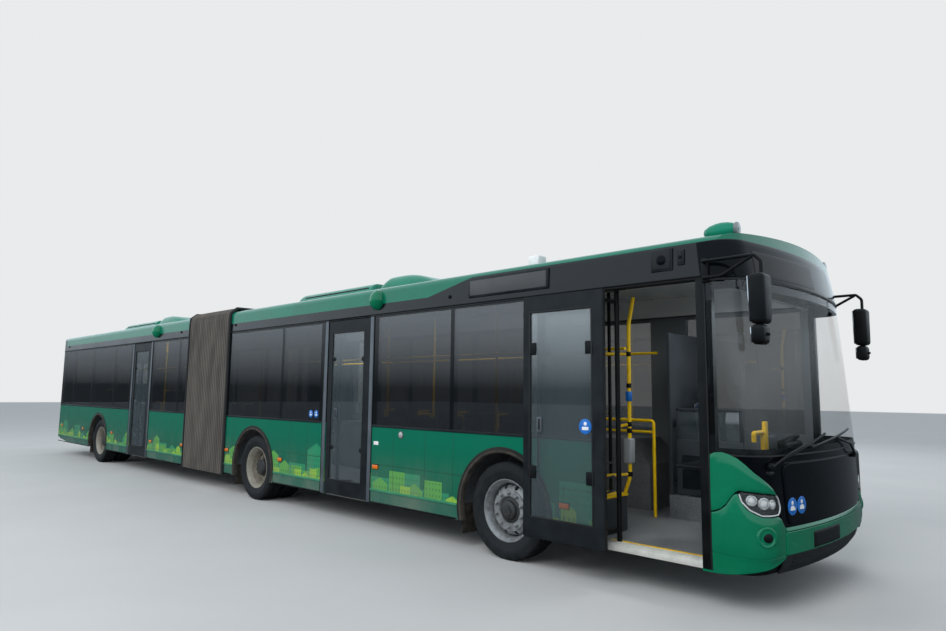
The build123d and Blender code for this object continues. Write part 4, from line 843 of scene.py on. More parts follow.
# a dished recess with a raised rim, and a small lamp set to its outer side
dish = turned([(0.08, -0.012), (0.075, 0.004), (0.066, 0.007), (0.056, 0.001), (0.05, -0.008), (0.0, -0.011),
               (0.0, -0.018), (0.066, -0.018)], green_enamel, 48, degrees=60)
eye = turned([(0.04, -0.014), (0.038, -0.002), (0.026, 0.003), (0.0, 0.005), (0.0, -0.014)], satin_black, 32,
             degrees=60)
move(Matrix.Translation((-0.008, 0, -0.004)), [eye])
move(facing_out(-1.212, 0.6, 0.014), [dish, eye])
mirror_bench()
nose_band(((0.998, 0.452), (1.004, 0.475), (1.002, 0.6), (0.996, 0.622)), green_enamel,
          0.01, 0.02, 48, 10, 0.006)
ledge = nose_band(((0.994, 0.626), (0.992, 0.652)), green_enamel, 0.001, 0.012, 48, 4, 0.003)
for vertex in ledge.data.vertices:
    vertex.co.x += max(0.0, 0.652 - vertex.co.z) * 0.35
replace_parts(gather("front_mask_green", "front_section"), "front_mask")

nose_band(((0.985, 0.3), (0.99, 0.36), (0.995, 0.444)), bumper_grey, -0.012, 0.012, 40, 8, 0.004)
for z in (0.345, 0.375, 0.405):
    for side in sides:
        nose_band(((0.18, z), (0.18, z + 0.014)), black_rubber, -0.008, 0.006, 12, 3, middle=side * 0.68)
gather("front_valance", "front_section")

# inner liner behind the mouldings, which shows in the gaps: it closes the nose, and its black is painted
# shade in those gaps
nose_band(((1.64, 0.31), (1.64, 0.7), (1.64, 1.2)), satin_black, -0.03, 0.004, 64, 8)
gather("front_liner", "front_section")

# blank number plate in its frame
nose_band(((0.26, 0.47), (0.26, 0.58)), satin_black, 0.016, 0.008, 12, 6, 0.003, middle=-0.33)
nose_band(((0.268, 0.462), (0.268, 0.588)), bumper_grey, 0.012, 0.006, 12, 6, 0.003, middle=-0.33)
gather("front_plate_blank", "front_section")

# two round blue stickers, each with a plain white head and shoulders
for s in (-0.888, -0.752):
    normal = nose_normal(s, 0.802)
    disc(nose_point(s, 0.802, 0.0055), normal, 0.066, 0.002, sign_blue, 0.0005, 40)
    nose_band(((0.034, 0.772), (0.032, 0.79), (0.016, 0.806)), sign_white, 0.0078, 0.001, 4, 6, middle=s)
    disc(nose_point(s, 0.828, 0.0068), normal, 0.016, 0.002, sign_white, 0.0005, 20)
gather("front_stickers", "front_section")


# Headlamps: a chrome bowl made bright by painted reflection, with three round lenses under a clear cover
cover_rows = [
    # outer end, middle and inner end of each row, lowest first, as (s, z)
    [(-1.236, 0.753), (-1.16, 0.752), (-1.086, 0.756)],
    [(-1.318, 0.792), (-1.19, 0.78), (-1.066, 0.778)],
    [(-1.372, 0.85), (-1.215, 0.83), (-1.056, 0.812)],
    [(-1.386, 0.905), (-1.235, 0.886), (-1.074, 0.87)],
    [(-1.372, 0.921), (-1.23, 0.908), (-1.092, 0.894)],
]
nose_sheet(cover_rows, lamp_cover, 0.007, 0.004, 28, 14, 0.0, curved, 0.006)
mirror_bench()
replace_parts(gather("headlamp_covers", "front_section"), "headlamps")
nose_sheet(cover_rows, painted_bright_chrome, -0.034, 0.006, 28, 14, 0.0, curved, -0.012)
nose_sheet([[(s, z - 0.012) for s, z in cover_rows[0]], cover_rows[0]], satin_black, 0.003, 0.006, 20, 3)
outline = [row[0] for row in cover_rows[3:0:-1]] + cover_rows[0] + [row[2] for row in cover_rows[1:]]
tube([nose_point(s, z, 0.004) for s, z in outline], 0.006, painted_bright_chrome, 0.02)
for s, z, radius in ((-1.3, 0.858, 0.034), (-1.2, 0.838, 0.038), (-1.112, 0.83, 0.03)):
    ring = turned([(radius + 0.006, -0.02), (radius + 0.006, 0.006), (radius, 0.01), (radius - 0.004, 0.0),
                   (0.0, -0.004), (0.0, -0.02)], painted_bright_chrome, 28, degrees=40)
    lens = turned([(radius - 0.006, -0.004), (radius - 0.01, 0.008), (radius * 0.5, 0.018), (0.0, 0.022),
                   (0.0, -0.004)], white_lens, 28, degrees=60)
    move(facing_out(s, z, -0.026), [ring, lens])
mirror_bench()
gather("headlamp_bowls", "front_section")

# Windscreen wrapped round both corners, with its dark printed border
nose_band(((1.64, 1.19), (1.62, 1.6), (1.58, 2.1), (1.532, 2.545)), clear_glass,
          0.0, 0.006, 72, 14, 0.0, curved)
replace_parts(gather("windscreen_glass", "front_section"), "windscreen")
nose_band(((1.64, 1.192), (1.635, 1.236)), gloss_black, -0.0065, 0.002, 72, 4)
nose_band(((1.54, 2.47), (1.532, 2.545)), gloss_black, -0.0065, 0.002, 72, 4)
border = nose_sheet([[(-1.64, 1.236), (-1.56, 1.236)], [(-1.62, 1.6), (-1.545, 1.6)],
                     [(-1.582, 2.1), (-1.51, 2.1)], [(-1.536, 2.47), (-1.47, 2.47)]],
                    gloss_black, -0.0065, 0.002, 4, 24)
mirror_bench([border])
nose_band(((1.6, 1.18), (1.6, 1.192)), black_rubber, 0.003, 0.008, 72, 3)
nose_band(((1.53, 2.543), (1.53, 2.556)), black_rubber, 0.004, 0.01, 72, 3)
gather("windscreen_border", "front_section")

# Header glass over the windscreen
nose_band(((1.525, 2.558), (1.515, 2.7), (1.5, 2.868)), gloss_black, 0.002, 0.008, 72, 8, 0.003)
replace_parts(gather("header_glass", "front_section"), "destination_signs")

# Wipers: arms from their spindles, and blades along the foot of the glass
wipers = (
    # the arm's spindle, elbow and tip, then the blade's ends, as (s, z)
    ((-1.147, 1.112), (-0.92, 1.2), (-0.62, 1.262), (-1.03, 1.15), (-0.22, 1.33)),
    ((0.62, 1.112), (0.42, 1.22), (0.05, 1.286), (-0.52, 1.232), (0.52, 1.345)),
)
for spindle, elbow, tip, *ends in wipers:
    disc(nose_point(*spindle, 0.02), nose_normal(*spindle), 0.026, 0.03, satin_black, 0.004, 20)
    arm = [nose_point(*spindle, 0.036), nose_point(*elbow, 0.036), nose_point(*tip, 0.026)]
    tube(arm, 0.009, satin_black, 0.05)
    blade = [nose_point(*straight(ends, k / 10), 0.014) for k in range(11)]
    tube(blade, 0.01, satin_black, 0.02)
    tube([point + Vector((0, 0, -0.006)) for point in blade], 0.006, black_rubber, 0.02)
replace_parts(gather("wiper_set", "front_section"), "wipers")


# Mirrors: a rounded head and a small kerb mirror on two slim tubes, modelled on the right side
def mirror_head(x, y, z, taper):
    """A housing whose foot is narrower than its top, with silvered glass in its rear face."""
    shell = bar(x, y, z, satin_black, 0.034, 4)
    glass = bar((x[0] - 0.004, x[0] + 0.004), (y[0] + 0.016, y[1] - 0.016), (z[0] + 0.018, z[1] - 0.018),
                mirror_silver)
    middle = (y[0] + y[1]) / 2
    for part in (shell, glass):
        for vertex in part.data.vertices:
            low = (z[1] - vertex.co.z) / (z[1] - z[0])
            vertex.co.y = middle + (vertex.co.y - middle) * (1 - taper * low * low)


mirror_head((8.85, 8.972), (-1.45, -1.262), (2.165, 2.54), 0.22)
mirror_head((8.858, 8.956), (-1.44, -1.285), (2.012, 2.16), 0.1)
tube([(8.462, -1.262, 2.69), (8.47, -1.35, 2.692), (8.875, -1.35, 2.692), (8.925, -1.35, 2.64),
      (8.925, -1.35, 2.52)], 0.014, satin_black, 0.05)
tube([(8.462, -1.262, 2.562), (8.47, -1.35, 2.56), (8.62, -1.35, 2.56), (8.86, -1.35, 2.684)],
     0.013, satin_black, 0.05)
bar((8.432, 8.492), (-1.3, -1.268), (2.53, 2.73), satin_black, 0.012)
disc((8.915, -1.362, 2.163), upright, 0.022, 0.02, satin_black)
disc((8.965, -1.362, 2.086), forward, 0.012, 0.022, satin_black)
mirror_bench()
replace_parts(gather("mirror_pair", "front_section"), "mirrors")


# Side trims
sections = {
    # name: rear end, front end, seam height
    "front": (front_section_end, 8.44, 0.77),
    "rear": (-8.84, rear_section_start, 0.675),
}
axles_of = {"front": (front_axle_x, middle_axle_x), "rear": (rear_axle_x,)}
doors_of = {"front": ("front", "middle"), "rear": ("rear",)}
panel_joints = (0.62, 2.3, 2.75, 4.6, 5.15, 5.6, 7.05, -1.75, -2.55, -4.6, -5.1, -6.55, -7.3, -8.1)
surround = 0.07
flare_radius = 0.628


def stretches(start, end, gaps):
    """What is left of a run once the gaps are taken out of it."""
    runs = []
    for gap_start, gap_end in sorted(gaps) + [(end, end)]:
        if gap_start - start > 0.05:
            runs.append((start, gap_start))
        start = max(start, gap_end)
    return runs


def flank(x, z, side, material, proud=0.006, edge=0.002):
    """A strip on the body side, let 4 mm into it."""
    bar(x, (side * (half_width - 0.004), side * (half_width + proud)), z, material, edge)


def side_gaps(section, side, z):
    """Doorways with their surrounds, and wheel arches where they reach this height."""
    rears = [door_rear_edges[door] for door in doors_of[section]] if side < 0 else []
    gaps = [(rear - surround, rear + doorway_width + surround) for rear in rears]
    rise = abs(z - wheel_z)
    if rise < flare_radius:
        reach = math.sqrt(flare_radius ** 2 - rise ** 2) + 0.004
        gaps += [(axle_x - reach, axle_x + reach) for axle_x in axles_of[section]]
    return gaps


for section, (rear, front, seam_z) in sections.items():
    strips = (
        # bottom, top, proud, finish
        (1.212, 1.238, 0.007, dark_alloy),
        (0.455, 0.48, 0.009, trim_green),
        (seam_z - 0.002, seam_z + 0.002, 0.0012, black_rubber),
        (2.566, 2.574, 0.01, black_rubber),
        (2.584, 2.594, 0.014, satin_black),
        (0.312, 0.33, 0.003, satin_black),
    )
    for side in sides:
        for bottom, top, proud, finish in strips:
            gaps = side_gaps(section, side, (bottom + top) / 2) if bottom < 2.56 else []
            for run in stretches(rear, front, gaps):
                flank(run, (bottom, top), side, finish, proud)
        for x in panel_joints:
            if rear < x < front:
                flank((x - 0.002, x + 0.002), (0.482, 1.21), side, black_rubber, 0.001)
    gather(f"{section}_side_trims", f"{section}_section")


# Wheel arches: a rolled lip round each opening, and rubber flaps behind the wheels
lip_section = ((0.568, -0.055), (0.566, 0.006), (0.57, 0.013), (0.58, 0.016), (0.592, 0.013), (0.597, 0.006))
lip_start, lip_end = math.radians(-16.5), math.radians(196.5)


def arch_lip(x, side):
    lip, points = grid(56, len(lip_section) - 1)
    for vertex, u, v in points:
        a = lip_start + (lip_end - lip_start) * u
        radius, out = lip_section[round(v * (len(lip_section) - 1))]
        z = max(wheel_z + radius * math.sin(a), skirt_z)
        vertex.co = (x + radius * math.cos(a), side * (half_width + out), z)
    edit(lip, (bpy.ops.mesh.normals_make_consistent, {"inside": False}))
    lay(lip, flap_rubber, 60)


for section, axles in axles_of.items():
    for x in axles:
        inner = 0.96 if x == front_axle_x else 0.68
        for side in sides:
            arch_lip(x, side)
            bar((x - 0.612, x - 0.604), (side * inner, side * 1.225), (0.165, 0.47), flap_rubber, 0.002)
    gather(f"{section}_arches", f"{section}_section")


# Doorways: surrounds, a bright ribbed sill with a yellow edge, and a seal over each leaf
doorways = (
    # door, body, finish of its posts
    ("front", "front_section", satin_black),
    ("middle", "front_section", slate_alloy),
    ("rear", "rear_section", slate_alloy),
)
for door, body, post in doorways:
    rear = door_rear_edges[door]
    front = rear + doorway_width
    for edge_x, away in ((rear, -1), (front, 1)):
        far = edge_x + away * surround
        flank((edge_x + away * 0.002, far), (0.314, 2.578), -1, post, 0.007, 0.004)
        flank((far, far + away * 0.012), (0.314, 2.578), -1, black_rubber, 0.009, 0.003)
    sill = (rear + 0.004, front - 0.004)
    between = (rear + 0.01, front - 0.01)
    bar(sill, (-1.224, -1.12), (0.352, 0.3645), sill_alloy, 0.003)
    bar(sill, (-1.224, -1.217), (0.3, 0.352), sill_alloy, 0.002)
    for k in range(5):
        y = -1.2 + 0.014 * k
        bar(between, (y - 0.003, y + 0.003), (0.3645, 0.367), sill_alloy, 0.001)
    bar(sill, (-1.122, -1.085), (0.359, 0.3655), rail_yellow, 0.001)
    bar(between, (-1.215, -1.19), (2.56, 2.579), black_rubber)
    gather(f"doorway_trim_{door}", body)


# Door leaves: gasket round the glass, edge seals, grab tubes and slots. All are modelled with
# the leaf's rear edge at x = 0 and its outer face at y = 0
for x in (0.066, 0.766):
    bar((x, x + 0.018), (-0.0025, 0.012), (0.5, 2.41), black_rubber)
for z in (0.496, 2.396):
    bar((0.07, 0.78), (-0.0025, 0.012), (z, z + 0.018), black_rubber)
for x0, x1, edge in ((-0.007, 0.002, 0.003), (0.888, 0.893, 0.002)):
    bar((x0, x1), (0.004, 0.04), (0.33, 2.555), black_rubber, edge)
bar((0.01, 0.88), (0.008, 0.03), (0.316, 0.327), black_rubber, 0.003)
for x, top, foot in ((0.12, 2.057, 0.914), (0.745, 2.049, 0.907)):
    tube([(x, 0.018, top), (x, 0.072, top), (x, 0.072, foot), (x, 0.018, foot)], 0.013, dark_alloy, 0.03)
    for z in (top, foot):
        disc((x, 0.0085, z), sideways, 0.03, 0.005, satin_black, 0.002, 24)
bar((0.158, 0.214), (0.001, 0.011), (1.285, 1.42), slate_alloy, 0.005, 3)
bar((0.172, 0.2), (-0.001, 0.009), (1.3, 1.405), black_rubber)
leaf_dressing = gather("leaf_dressing")
for door, x, outer_y in (("front", 6.68, -1.402), ("middle", 3.202, -1.275), ("rear", -3.89, -1.275)):
    copy_at(leaf_dressing, Matrix())
    if door == "front":
        # pads behind the ends of the grab tubes, and a sticker with a plain head and shoulders
        for pad_x, z in ((0.1, 2.057), (0.75, 2.049), (0.1, 0.914), (0.75, 0.907)):
            bar((pad_x - 0.046, pad_x + 0.046), (-0.0015, 0.014), (z - 0.058, z + 0.058), satin_black,
                0.006, 3)
        disc((0.697, 0.0088, 1.353), sideways, 0.066, 0.0016, sign_blue, 0.0004, 40)
        bar((0.663, 0.731), (0.0068, 0.008), (1.322, 1.35), sign_white, 0.0003)
        disc((0.697, 0.0076, 1.377), sideways, 0.016, 0.001, sign_white, 0.0003, 20)
    move(Matrix.Translation((x, outer_y, 0)), bench)
    gather(f"leaf_dressing_{door}", f"door_leaf_{door}")
discard(leaf_dressing)


# Signs: blank dot-matrix fields, one behind the header glass and one over the side windows
nose_band(((0.55, 2.585), (0.54, 2.795)), display_field, 0.0035, 0.003, 48, 8, 0.001, middle=-0.49)
gather("front_sign_field", "front_section")
bar((5.81, 6.89), (-1.286, -1.255), (2.645, 2.85), dark_alloy, 0.008)
bar((5.838, 6.862), (-1.2885, -1.28), (2.668, 2.827), side_field, 0.002)
gather("side_sign", "front_section")


# Small fittings on the sides: camera boxes, marker lamps, filler flap, plain white sign
def camera_box(x0, x1, z0, z1, side):
    bar((x0, x1), (side * 1.262, side * 1.284), (z0, z1), dark_alloy, 0.01, 3)
    bar((x0 + 0.018, x1 - 0.018), (side * 1.28, side * 1.29), (z0 + 0.018, z1 - 0.018), black_rubber,
        0.012, 3)
    eye_radius = min(x1 - x0, z1 - z0) * 0.22
    disc(((x0 + x1) / 2, side * 1.29, (z0 + z1) / 2), sideways, eye_radius, 0.01, gloss_black, vertices=24)


side_marks = {
    # section: (x, z) of the amber markers, x of the round black caps under the roof edge
    "front": (((4.27, 0.74), (2.06, 0.66), (0.42, 0.69), (7.06, 0.62)), (5.51, 0.5)),
    "rear": (((-1.3, 0.66), (-2.76, 0.64), (-4.93, 0.7), (-6.9, 0.7), (-8.56, 0.72)), (-1.62, -8.5)),
}
for section, (markers, caps) in side_marks.items():
    for side in sides:
        for x, z in markers:
            flank((x - 0.06, x + 0.06), (z - 0.029, z + 0.029), side, satin_black, 0.004, 0.004)
            flank((x - 0.054, x + 0.054), (z - 0.024, z + 0.024), side, amber_lens, 0.013, 0.006)
        for x in caps:
            disc((x, side * 1.276, 2.69), sideways, 0.02, 0.02, satin_black, 0.005, 20)
    if section == "front":
        camera_box(7.98, 8.18, 2.666, 2.857, -1)
        camera_box(8.22, 8.285, 2.7, 2.83, -1)
        camera_box(7.98, 8.18, 2.666, 2.857, 1)
        disc((4.733, -1.277, 1.14), sideways, 0.045, 0.01, slate_alloy)
        disc((4.733, -1.28, 1.14), sideways, 0.034, 0.01, bright_alloy)
        flank((4.225, 4.313), (1.0, 1.042), -1, sign_white, 0.002, 0.001)
        for x in (2.82, 2.95):
            disc((x, -1.2762, 1.33), sideways, 0.05, 0.0016, sign_blue, 0.0004, 36)
            flank((x - 0.025, x + 0.025), (1.306, 1.327), -1, sign_white, 0.0022, 0.0003)
            disc((x, -1.2767, 1.347), sideways, 0.012, 0.0012, sign_white, 0.0003, 18)
    gather(f"{section}_side_fittings", f"{section}_section")


# Roof: smooth housings, slotted along their sides, with drop-shaped lamps and hatches
def eased(t):
    t = min(max(t, 0.0), 1.0)
    return math.sqrt(1 - (1 - t) ** 2)


def roof_housing(rear, front, rear_ramp, front_ramp, top, half=0.76, foot=2.9):
    """A closed shell that rises from the roof over its ramps and rounds over at its sides."""
    shell, points = grid(56, 40)
    length = front - rear
    for vertex, u, v in points:
        u, v = (0.5 - 0.5 * math.cos(math.pi * t) for t in (u, v))
        along = eased(u * length / rear_ramp) * eased((1 - u) * length / front_ramp)
        across = eased(min(v, 1 - v) * 2 * half / 0.16)
        vertex.co = (rear + length * u, half * (2 * v - 1), foot + (top - foot) * along * across)
    lay(shell, pod_enamel, 50)


def lamp_drop(radius, height, material, matrix):
    """A lamp housing like a drop: round, full at its middle and drawn out to a point."""
    profile = ((0.0, 0.0), (0.42, 0.03), (0.72, 0.12), (0.93, 0.28), (1.0, 0.45), (0.96, 0.6), (0.8, 0.78),
               (0.48, 0.93), (0.0, 1.0))
    drop = turned([(radius * r, height * t) for r, t in profile], material, 36, "Z", 60)
    move(matrix, [drop])


roof_sets = {
    # section: intake's rear end, fairing's front end, lamp drop's x, hatches' x
    "front": (1.4, 4.64, 4.222, (5.35, 7.35)),
    "rear": (-6.34, -3.1, -2.75, (-2.35, -7.45)),
}
for section, (rear, front, drop_x, hatches) in roof_sets.items():
    roof_housing(rear, rear + 2.0, 0.16, 0.05, 3.15)
    roof_housing(rear + 2.08, front, 0.26, 0.7, 3.2)
    for side in sides:
        bar((rear + 0.26, rear + 1.88), (side * 0.68, side * 0.715), (3.07, 3.094), black_rubber)
    for k in range(6):
        x = rear + 0.36 + 0.26 * k
        bar((x, x + 0.16), (-0.5, 0.5), (3.146, 3.158), trim_green)
    lamp_drop(0.112, 0.262, green_enamel, Matrix.Translation((drop_x, -1.262, 2.64)))
    for x in hatches:
        bar((x - 0.38, x + 0.38), (-0.4, 0.4), (2.955, 3.01), pod_enamel, 0.03, 3)
        bar((x - 0.41, x + 0.41), (-0.43, 0.43), (2.95, 2.982), satin_black, 0.006)
    if section == "front":
        bar((6.42, 6.56), (-1.02, -0.88), (2.93, 3.065), sign_white, 0.02, 3)
        for y in (-1.1, 1.1):
            lying = Matrix.Translation((8.672, y, 2.97)) @ Matrix.Rotation(math.radians(-90), 4, "Y")
            lamp_drop(0.074, 0.3, pod_enamel, lying)
            disc((8.655, y, 2.975), forward, 0.056, 0.026, marker_lens, 0.01, 28)
            bar((8.35, 8.65), (y - 0.08, y + 0.08), (2.88, 2.932), pod_enamel, 0.02, 3)
    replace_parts(gather(f"{section}_roof_set", f"{section}_section"), f"{section}_roof_units")


# Bellows frames: black rubber round each end
for section, x in (("front", front_section_end + 0.004), ("rear", rear_section_start - 0.004)):
    tube([(x, *arch_point(k / 60, 0.006)) for k in range(61)], 0.026, black_rubber, 0.01)
    gather(f"bellows_frame_{section}", f"{section}_section")


# Seats: moulded shells with stuffed cloth pads, on grey legs, with yellow grips
def stuffed(size, voxel, cap):
    """A pad and its size: a block blown up by a cloth run, no point moving further than the cap."""
    bpy.ops.mesh.primitive_cube_add(size=1, scale=[length - cap for length in size])
    pad = settle(bpy.context.object)
    edit(pad, (bpy.ops.mesh.bevel, {"offset": min(size) * 0.34, "segments": 3, "affect": "EDGES"}))
    apply_modifier(pad, "REMESH", mode="VOXEL", voxel_size=voxel)
    only(pad)
    cloth = pad.modifiers.new("cloth", "CLOTH")
    cloth.settings.use_pressure = True
    cloth.settings.uniform_pressure_force = 4.0
    cloth.settings.effector_weights.gravity = 0
    cloth.settings.quality = 5
    for step in range(1, 21):
        scene.frame_set(step)
    shaped = pad.evaluated_get(bpy.context.evaluated_depsgraph_get())
    blown = [v.co.copy() for v in shaped.data.vertices]
    pad.modifiers.remove(cloth)
    scene.frame_set(1)
    limit = min(size) / 2 + cap / 2
    thin = size.index(min(size))
    for vertex, after in zip(pad.data.vertices, blown):
        step = after - vertex.co
        if step.length > cap:
            step *= cap / step.length
        place = vertex.co + step
        place[thin] = min(max(place[thin], -limit), limit)
        vertex.co = place
    lay(pad, moquette, 60)
    # a welt sewn round the rim of the front face
    a, b = [k for k in range(3) if k != thin]
    loop = []
    for along, across in ((0, -1), (1, -1), (1, 1), (-1, 1), (-1, -1), (0, -1)):
        point = [size[thin] * 0.3] * 3
        point[a], point[b] = along * (size[a] / 2 - 0.006), across * (size[b] / 2 - 0.006)
        loop.append(point)
    tube(loop, 0.0035, welt_cord, 0.045)
    return gather("pad_model"), size


pad_models = {
    "seat": stuffed((0.385, 0.376, 0.046), 0.016, 0.007),
    "back": stuffed((0.042, 0.36, 0.44), 0.016, 0.007),
    "driver_seat": stuffed((0.44, 0.44, 0.12), 0.014, 0.014),
    "driver_back": stuffed((0.12, 0.44, 0.58), 0.014, 0.014),
}


def leaning(foot):
    """Leans a back by 6 degrees about its foot."""
    pivot = Matrix.Translation(foot)
    return pivot @ Matrix.Rotation(math.radians(-6), 4, "Y") @ pivot.inverted()


def pad_between(kind, x, y, z, lean=Matrix()):
    """A copy of a pad fitted between ranges, then leant back."""
    model, size = pad_models[kind]
    middle = [(r[0] + r[1]) / 2 for r in (x, y, z)]
    grow = [(r[1] - r[0]) / length for r, length in zip((x, y, z), size)]
    copy_at(model, lean @ Matrix.Translation(middle) @ Matrix.Diagonal((*grow, 1)))


def seat_shells(front, y0, y1, base):
    """A double seat facing forward: its shells, legs and a grip on the aisle side."""
    centre = (y0 + y1) / 2
    for low, high in ((y0, centre), (centre, y1)):
        y = (low + 0.012, high - 0.012)
        bar((front - 0.42, front), y, (base + 0.405, base + 0.44), seat_shell, 0.016, 3)
        back = bar((front - 0.475, front - 0.44), y, (base + 0.42, base + 0.975), seat_shell, 0.016, 3)
        move(leaning((front - 0.455, 0, base + 0.42)), [back])
    bar((front - 0.36, front - 0.1), (y0 + 0.05, y1 - 0.05), (base + 0.36, base + 0.405), dark_alloy)
    bar((front - 0.3, front - 0.24), (centre - 0.03, centre + 0.03), (base, base + 0.37), dark_alloy)
    aisle = min(y0, y1, key=abs)
    tube([(front - 0.5, aisle, base + 0.8), (front - 0.515, aisle, base + 0.99),
          (front - 0.525, (aisle + centre) / 2, base + 1.0)], 0.013, rail_yellow, 0.04)


def seat_pads(front, y0, y1, base):
    """The pads of a double seat."""
    centre = (y0 + y1) / 2
    for low, high in ((y0, centre), (centre, y1)):
        pad_between("seat", (front - 0.4, front - 0.015), (low + 0.027, high - 0.027),
                    (base + 0.434, base + 0.48))
        pad_between("back", (front - 0.444, front - 0.402), (low + 0.032, high - 0.032),
                    (base + 0.49, base + 0.93), leaning((front - 0.455, 0, base + 0.42)))


seat_depth = 0.51
seat_zones = {
    # section: rear limit, front limit, pitch, low y, high y, floor
    "front": ((4.162, 5.32, 0.6, -1.19, -0.33, floor_z), (2.24, 5.32, 0.8, 0.33, 1.19, floor_z)),
    "rear": ((-4.89, -1.7, 0.8, 0.33, 1.19, floor_z), (-4.89, -4.3, 0.8, -1.19, -0.33, floor_z),
             (-7.19, -6.54, 0.7, 0.6, 1.19, 0.62), (-7.19, -6.54, 0.7, -1.19, -0.6, 0.62)),
}
for section, zones in seat_zones.items():
    pairs = []
    for rear_limit, front_limit, pitch, *place in zones:
        rows = int((front_limit - rear_limit - seat_depth) // pitch) + 1
        pairs += [(front_limit - k * pitch, *place) for k in range(rows)]
    for pair in pairs:
        seat_shells(*pair)
    if section == "rear":
        bar((-8.47, -7.95), (-1.19, 1.19), (1.17, 1.2), seat_shell, 0.008)
    else:
        bar((7.52, 7.96), (0.57, 0.99), (0.86, 0.93), seat_shell, 0.02, 3)
        tube([(7.76, 0.78, 0.6), (7.76, 0.78, 0.88)], 0.07, satin_black)
    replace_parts(gather(f"{section}_seat_shells", f"{section}_section"), f"{section}_seats")
    for pair in pairs:
        seat_pads(*pair)
    if section == "rear":
        for k in range(5):
            y = (-1.17 + 0.472 * k, -0.718 + 0.472 * k)
            pad_between("seat", (-8.4, -7.955), y, (1.19, 1.268))
            pad_between("back", (-8.45, -8.395), y, (1.27, 1.79))
    else:
        pad_between("driver_seat", (7.56, 7.98), (0.56, 1.0), (0.92, 1.045))
        pad_between("driver_back", (7.47, 7.58), (0.57, 0.99), (1.02, 1.58), leaning((7.52, 0, 1.0)))
        pad_between("driver_back", (7.43, 7.5), (0.67, 0.89), (1.6, 1.76))
    gather(f"{section}_seat_pads", f"{section}_section")
for model, _ in pad_models.values():
    discard(model)


# Centre hoop: a rounded ring just inside the pleats, and the round floor plate that turns with it
hoop_side = 1.08
hoop_foot = 0.282
hoop_head = 2.912
hoop_x = (pivot_x - 0.03, pivot_x + 0.03)
for side in sides:
    bar(hoop_x, (side * hoop_side, side * (hoop_side - 0.05)), (hoop_foot, hoop_head), bright_alloy, 0.014, 3)
for z in ((hoop_foot, 0.33), (hoop_head - 0.05, hoop_head)):
    bar(hoop_x, (0.03 - hoop_side, hoop_side - 0.03), z, bright_alloy, 0.014, 3)
disc((pivot_x, 0, 0.346), upright, 0.64, 0.028, vinyl_floor, 0.004, 72)
disc((pivot_x, 0, 0.26), upright, 0.06, 0.15, chassis_black, 0.004, 24)
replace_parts(gather("hoop_ring", "centre_hoop"), "centre_hoop")


# Handrails: upright poles with cups at both ends, rails under the ceiling, loops at the door
ceiling_z = 2.78


def pole(x, y, material=rail_yellow):
    tube([(x, y, floor_z), (x, y, ceiling_z)], 0.017, material)
    for z in (floor_z + 0.012, ceiling_z - 0.012):
        disc((x, y, z), upright, 0.036, 0.024, satin_black, 0.008, 20)


pole(7.15, -0.635, satin_black)
for x, y in ((5.35, 0.31), (5.35, -0.31), (3.56, 0.31), (2.5, -0.76), (2.5, 0.31)):
    pole(x, y)
tube([(7.2, -0.42, 2.1), (0.45, -0.42, 2.1)], 0.015, rail_yellow)
tube([(7.1, 0.42, 2.1), (0.45, 0.42, 2.1)], 0.015, rail_yellow)
tube([(7.494, -0.75, 2.56), (7.438, -0.75, 2.297), (7.433, -0.75, 0.873), (7.379, -0.75, 0.729),
      (7.379, -0.75, 0.7)], 0.018, rail_yellow)
tube([(7.433, -0.75, 2.02), (7.25, -0.9, 2.02)], 0.014, rail_yellow)
tube([(7.433, -0.75, 1.36), (7.37, -0.84, 1.34), (7.37, -0.84, 1.22)], 0.014, rail_yellow, 0.04)
tube([(7.433, -0.75, 0.9), (7.25, -0.9, 0.88)], 0.014, rail_yellow)
bar((7.392, 7.47), (-0.8, -0.71), (1.0, 1.23), pale_panel, 0.014, 3)
disc((7.433, -0.752, 1.62), upright, 0.03, 0.09, sign_blue, 0.006, 20)
bar((7.08, 7.34), (-1.02, -0.64), (0.36, 0.69), cab_grey, 0.02, 3)
bar((7.075, 7.345), (-1.025, -0.635), (0.685, 0.706), rail_yellow, 0.006)
tube([(7.16, 0.2, 0.36), (7.16, 0.2, 1.36), (6.3, 0.2, 1.36), (6.3, 0.2, 0.36)], 0.017, rail_yellow, 0.08)
tube([(7.16, 0.2, 1.24), (6.3, 0.2, 1.24)], 0.014, rail_yellow)
for z in (2.02, 1.36, 1.3, 0.9, 1.72):
    disc((7.433, -0.75, z), upright, 0.024, 0.045, satin_black, 0.005, 16)
for z in (0.66, 0.79, 0.92):
    tube([(7.42, -1.0, z + 0.11), (7.1, -1.05, z)], 0.01, slate_alloy)
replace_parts(gather("front_grab_rails", "front_section"), "front_handrails")
for y in (-0.42, 0.42):
    tube([(-1.5, y, 2.1), (-6.9, y, 2.1)], 0.015, rail_yellow)
for x, y in ((-1.5, 0.31), (-3.15, 0.31), (-4.7, 0.31), (-4.7, -0.31), (-2.3, -0.76)):
    pole(x, y)
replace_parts(gather("rear_grab_rails", "rear_section"), "rear_handrails")


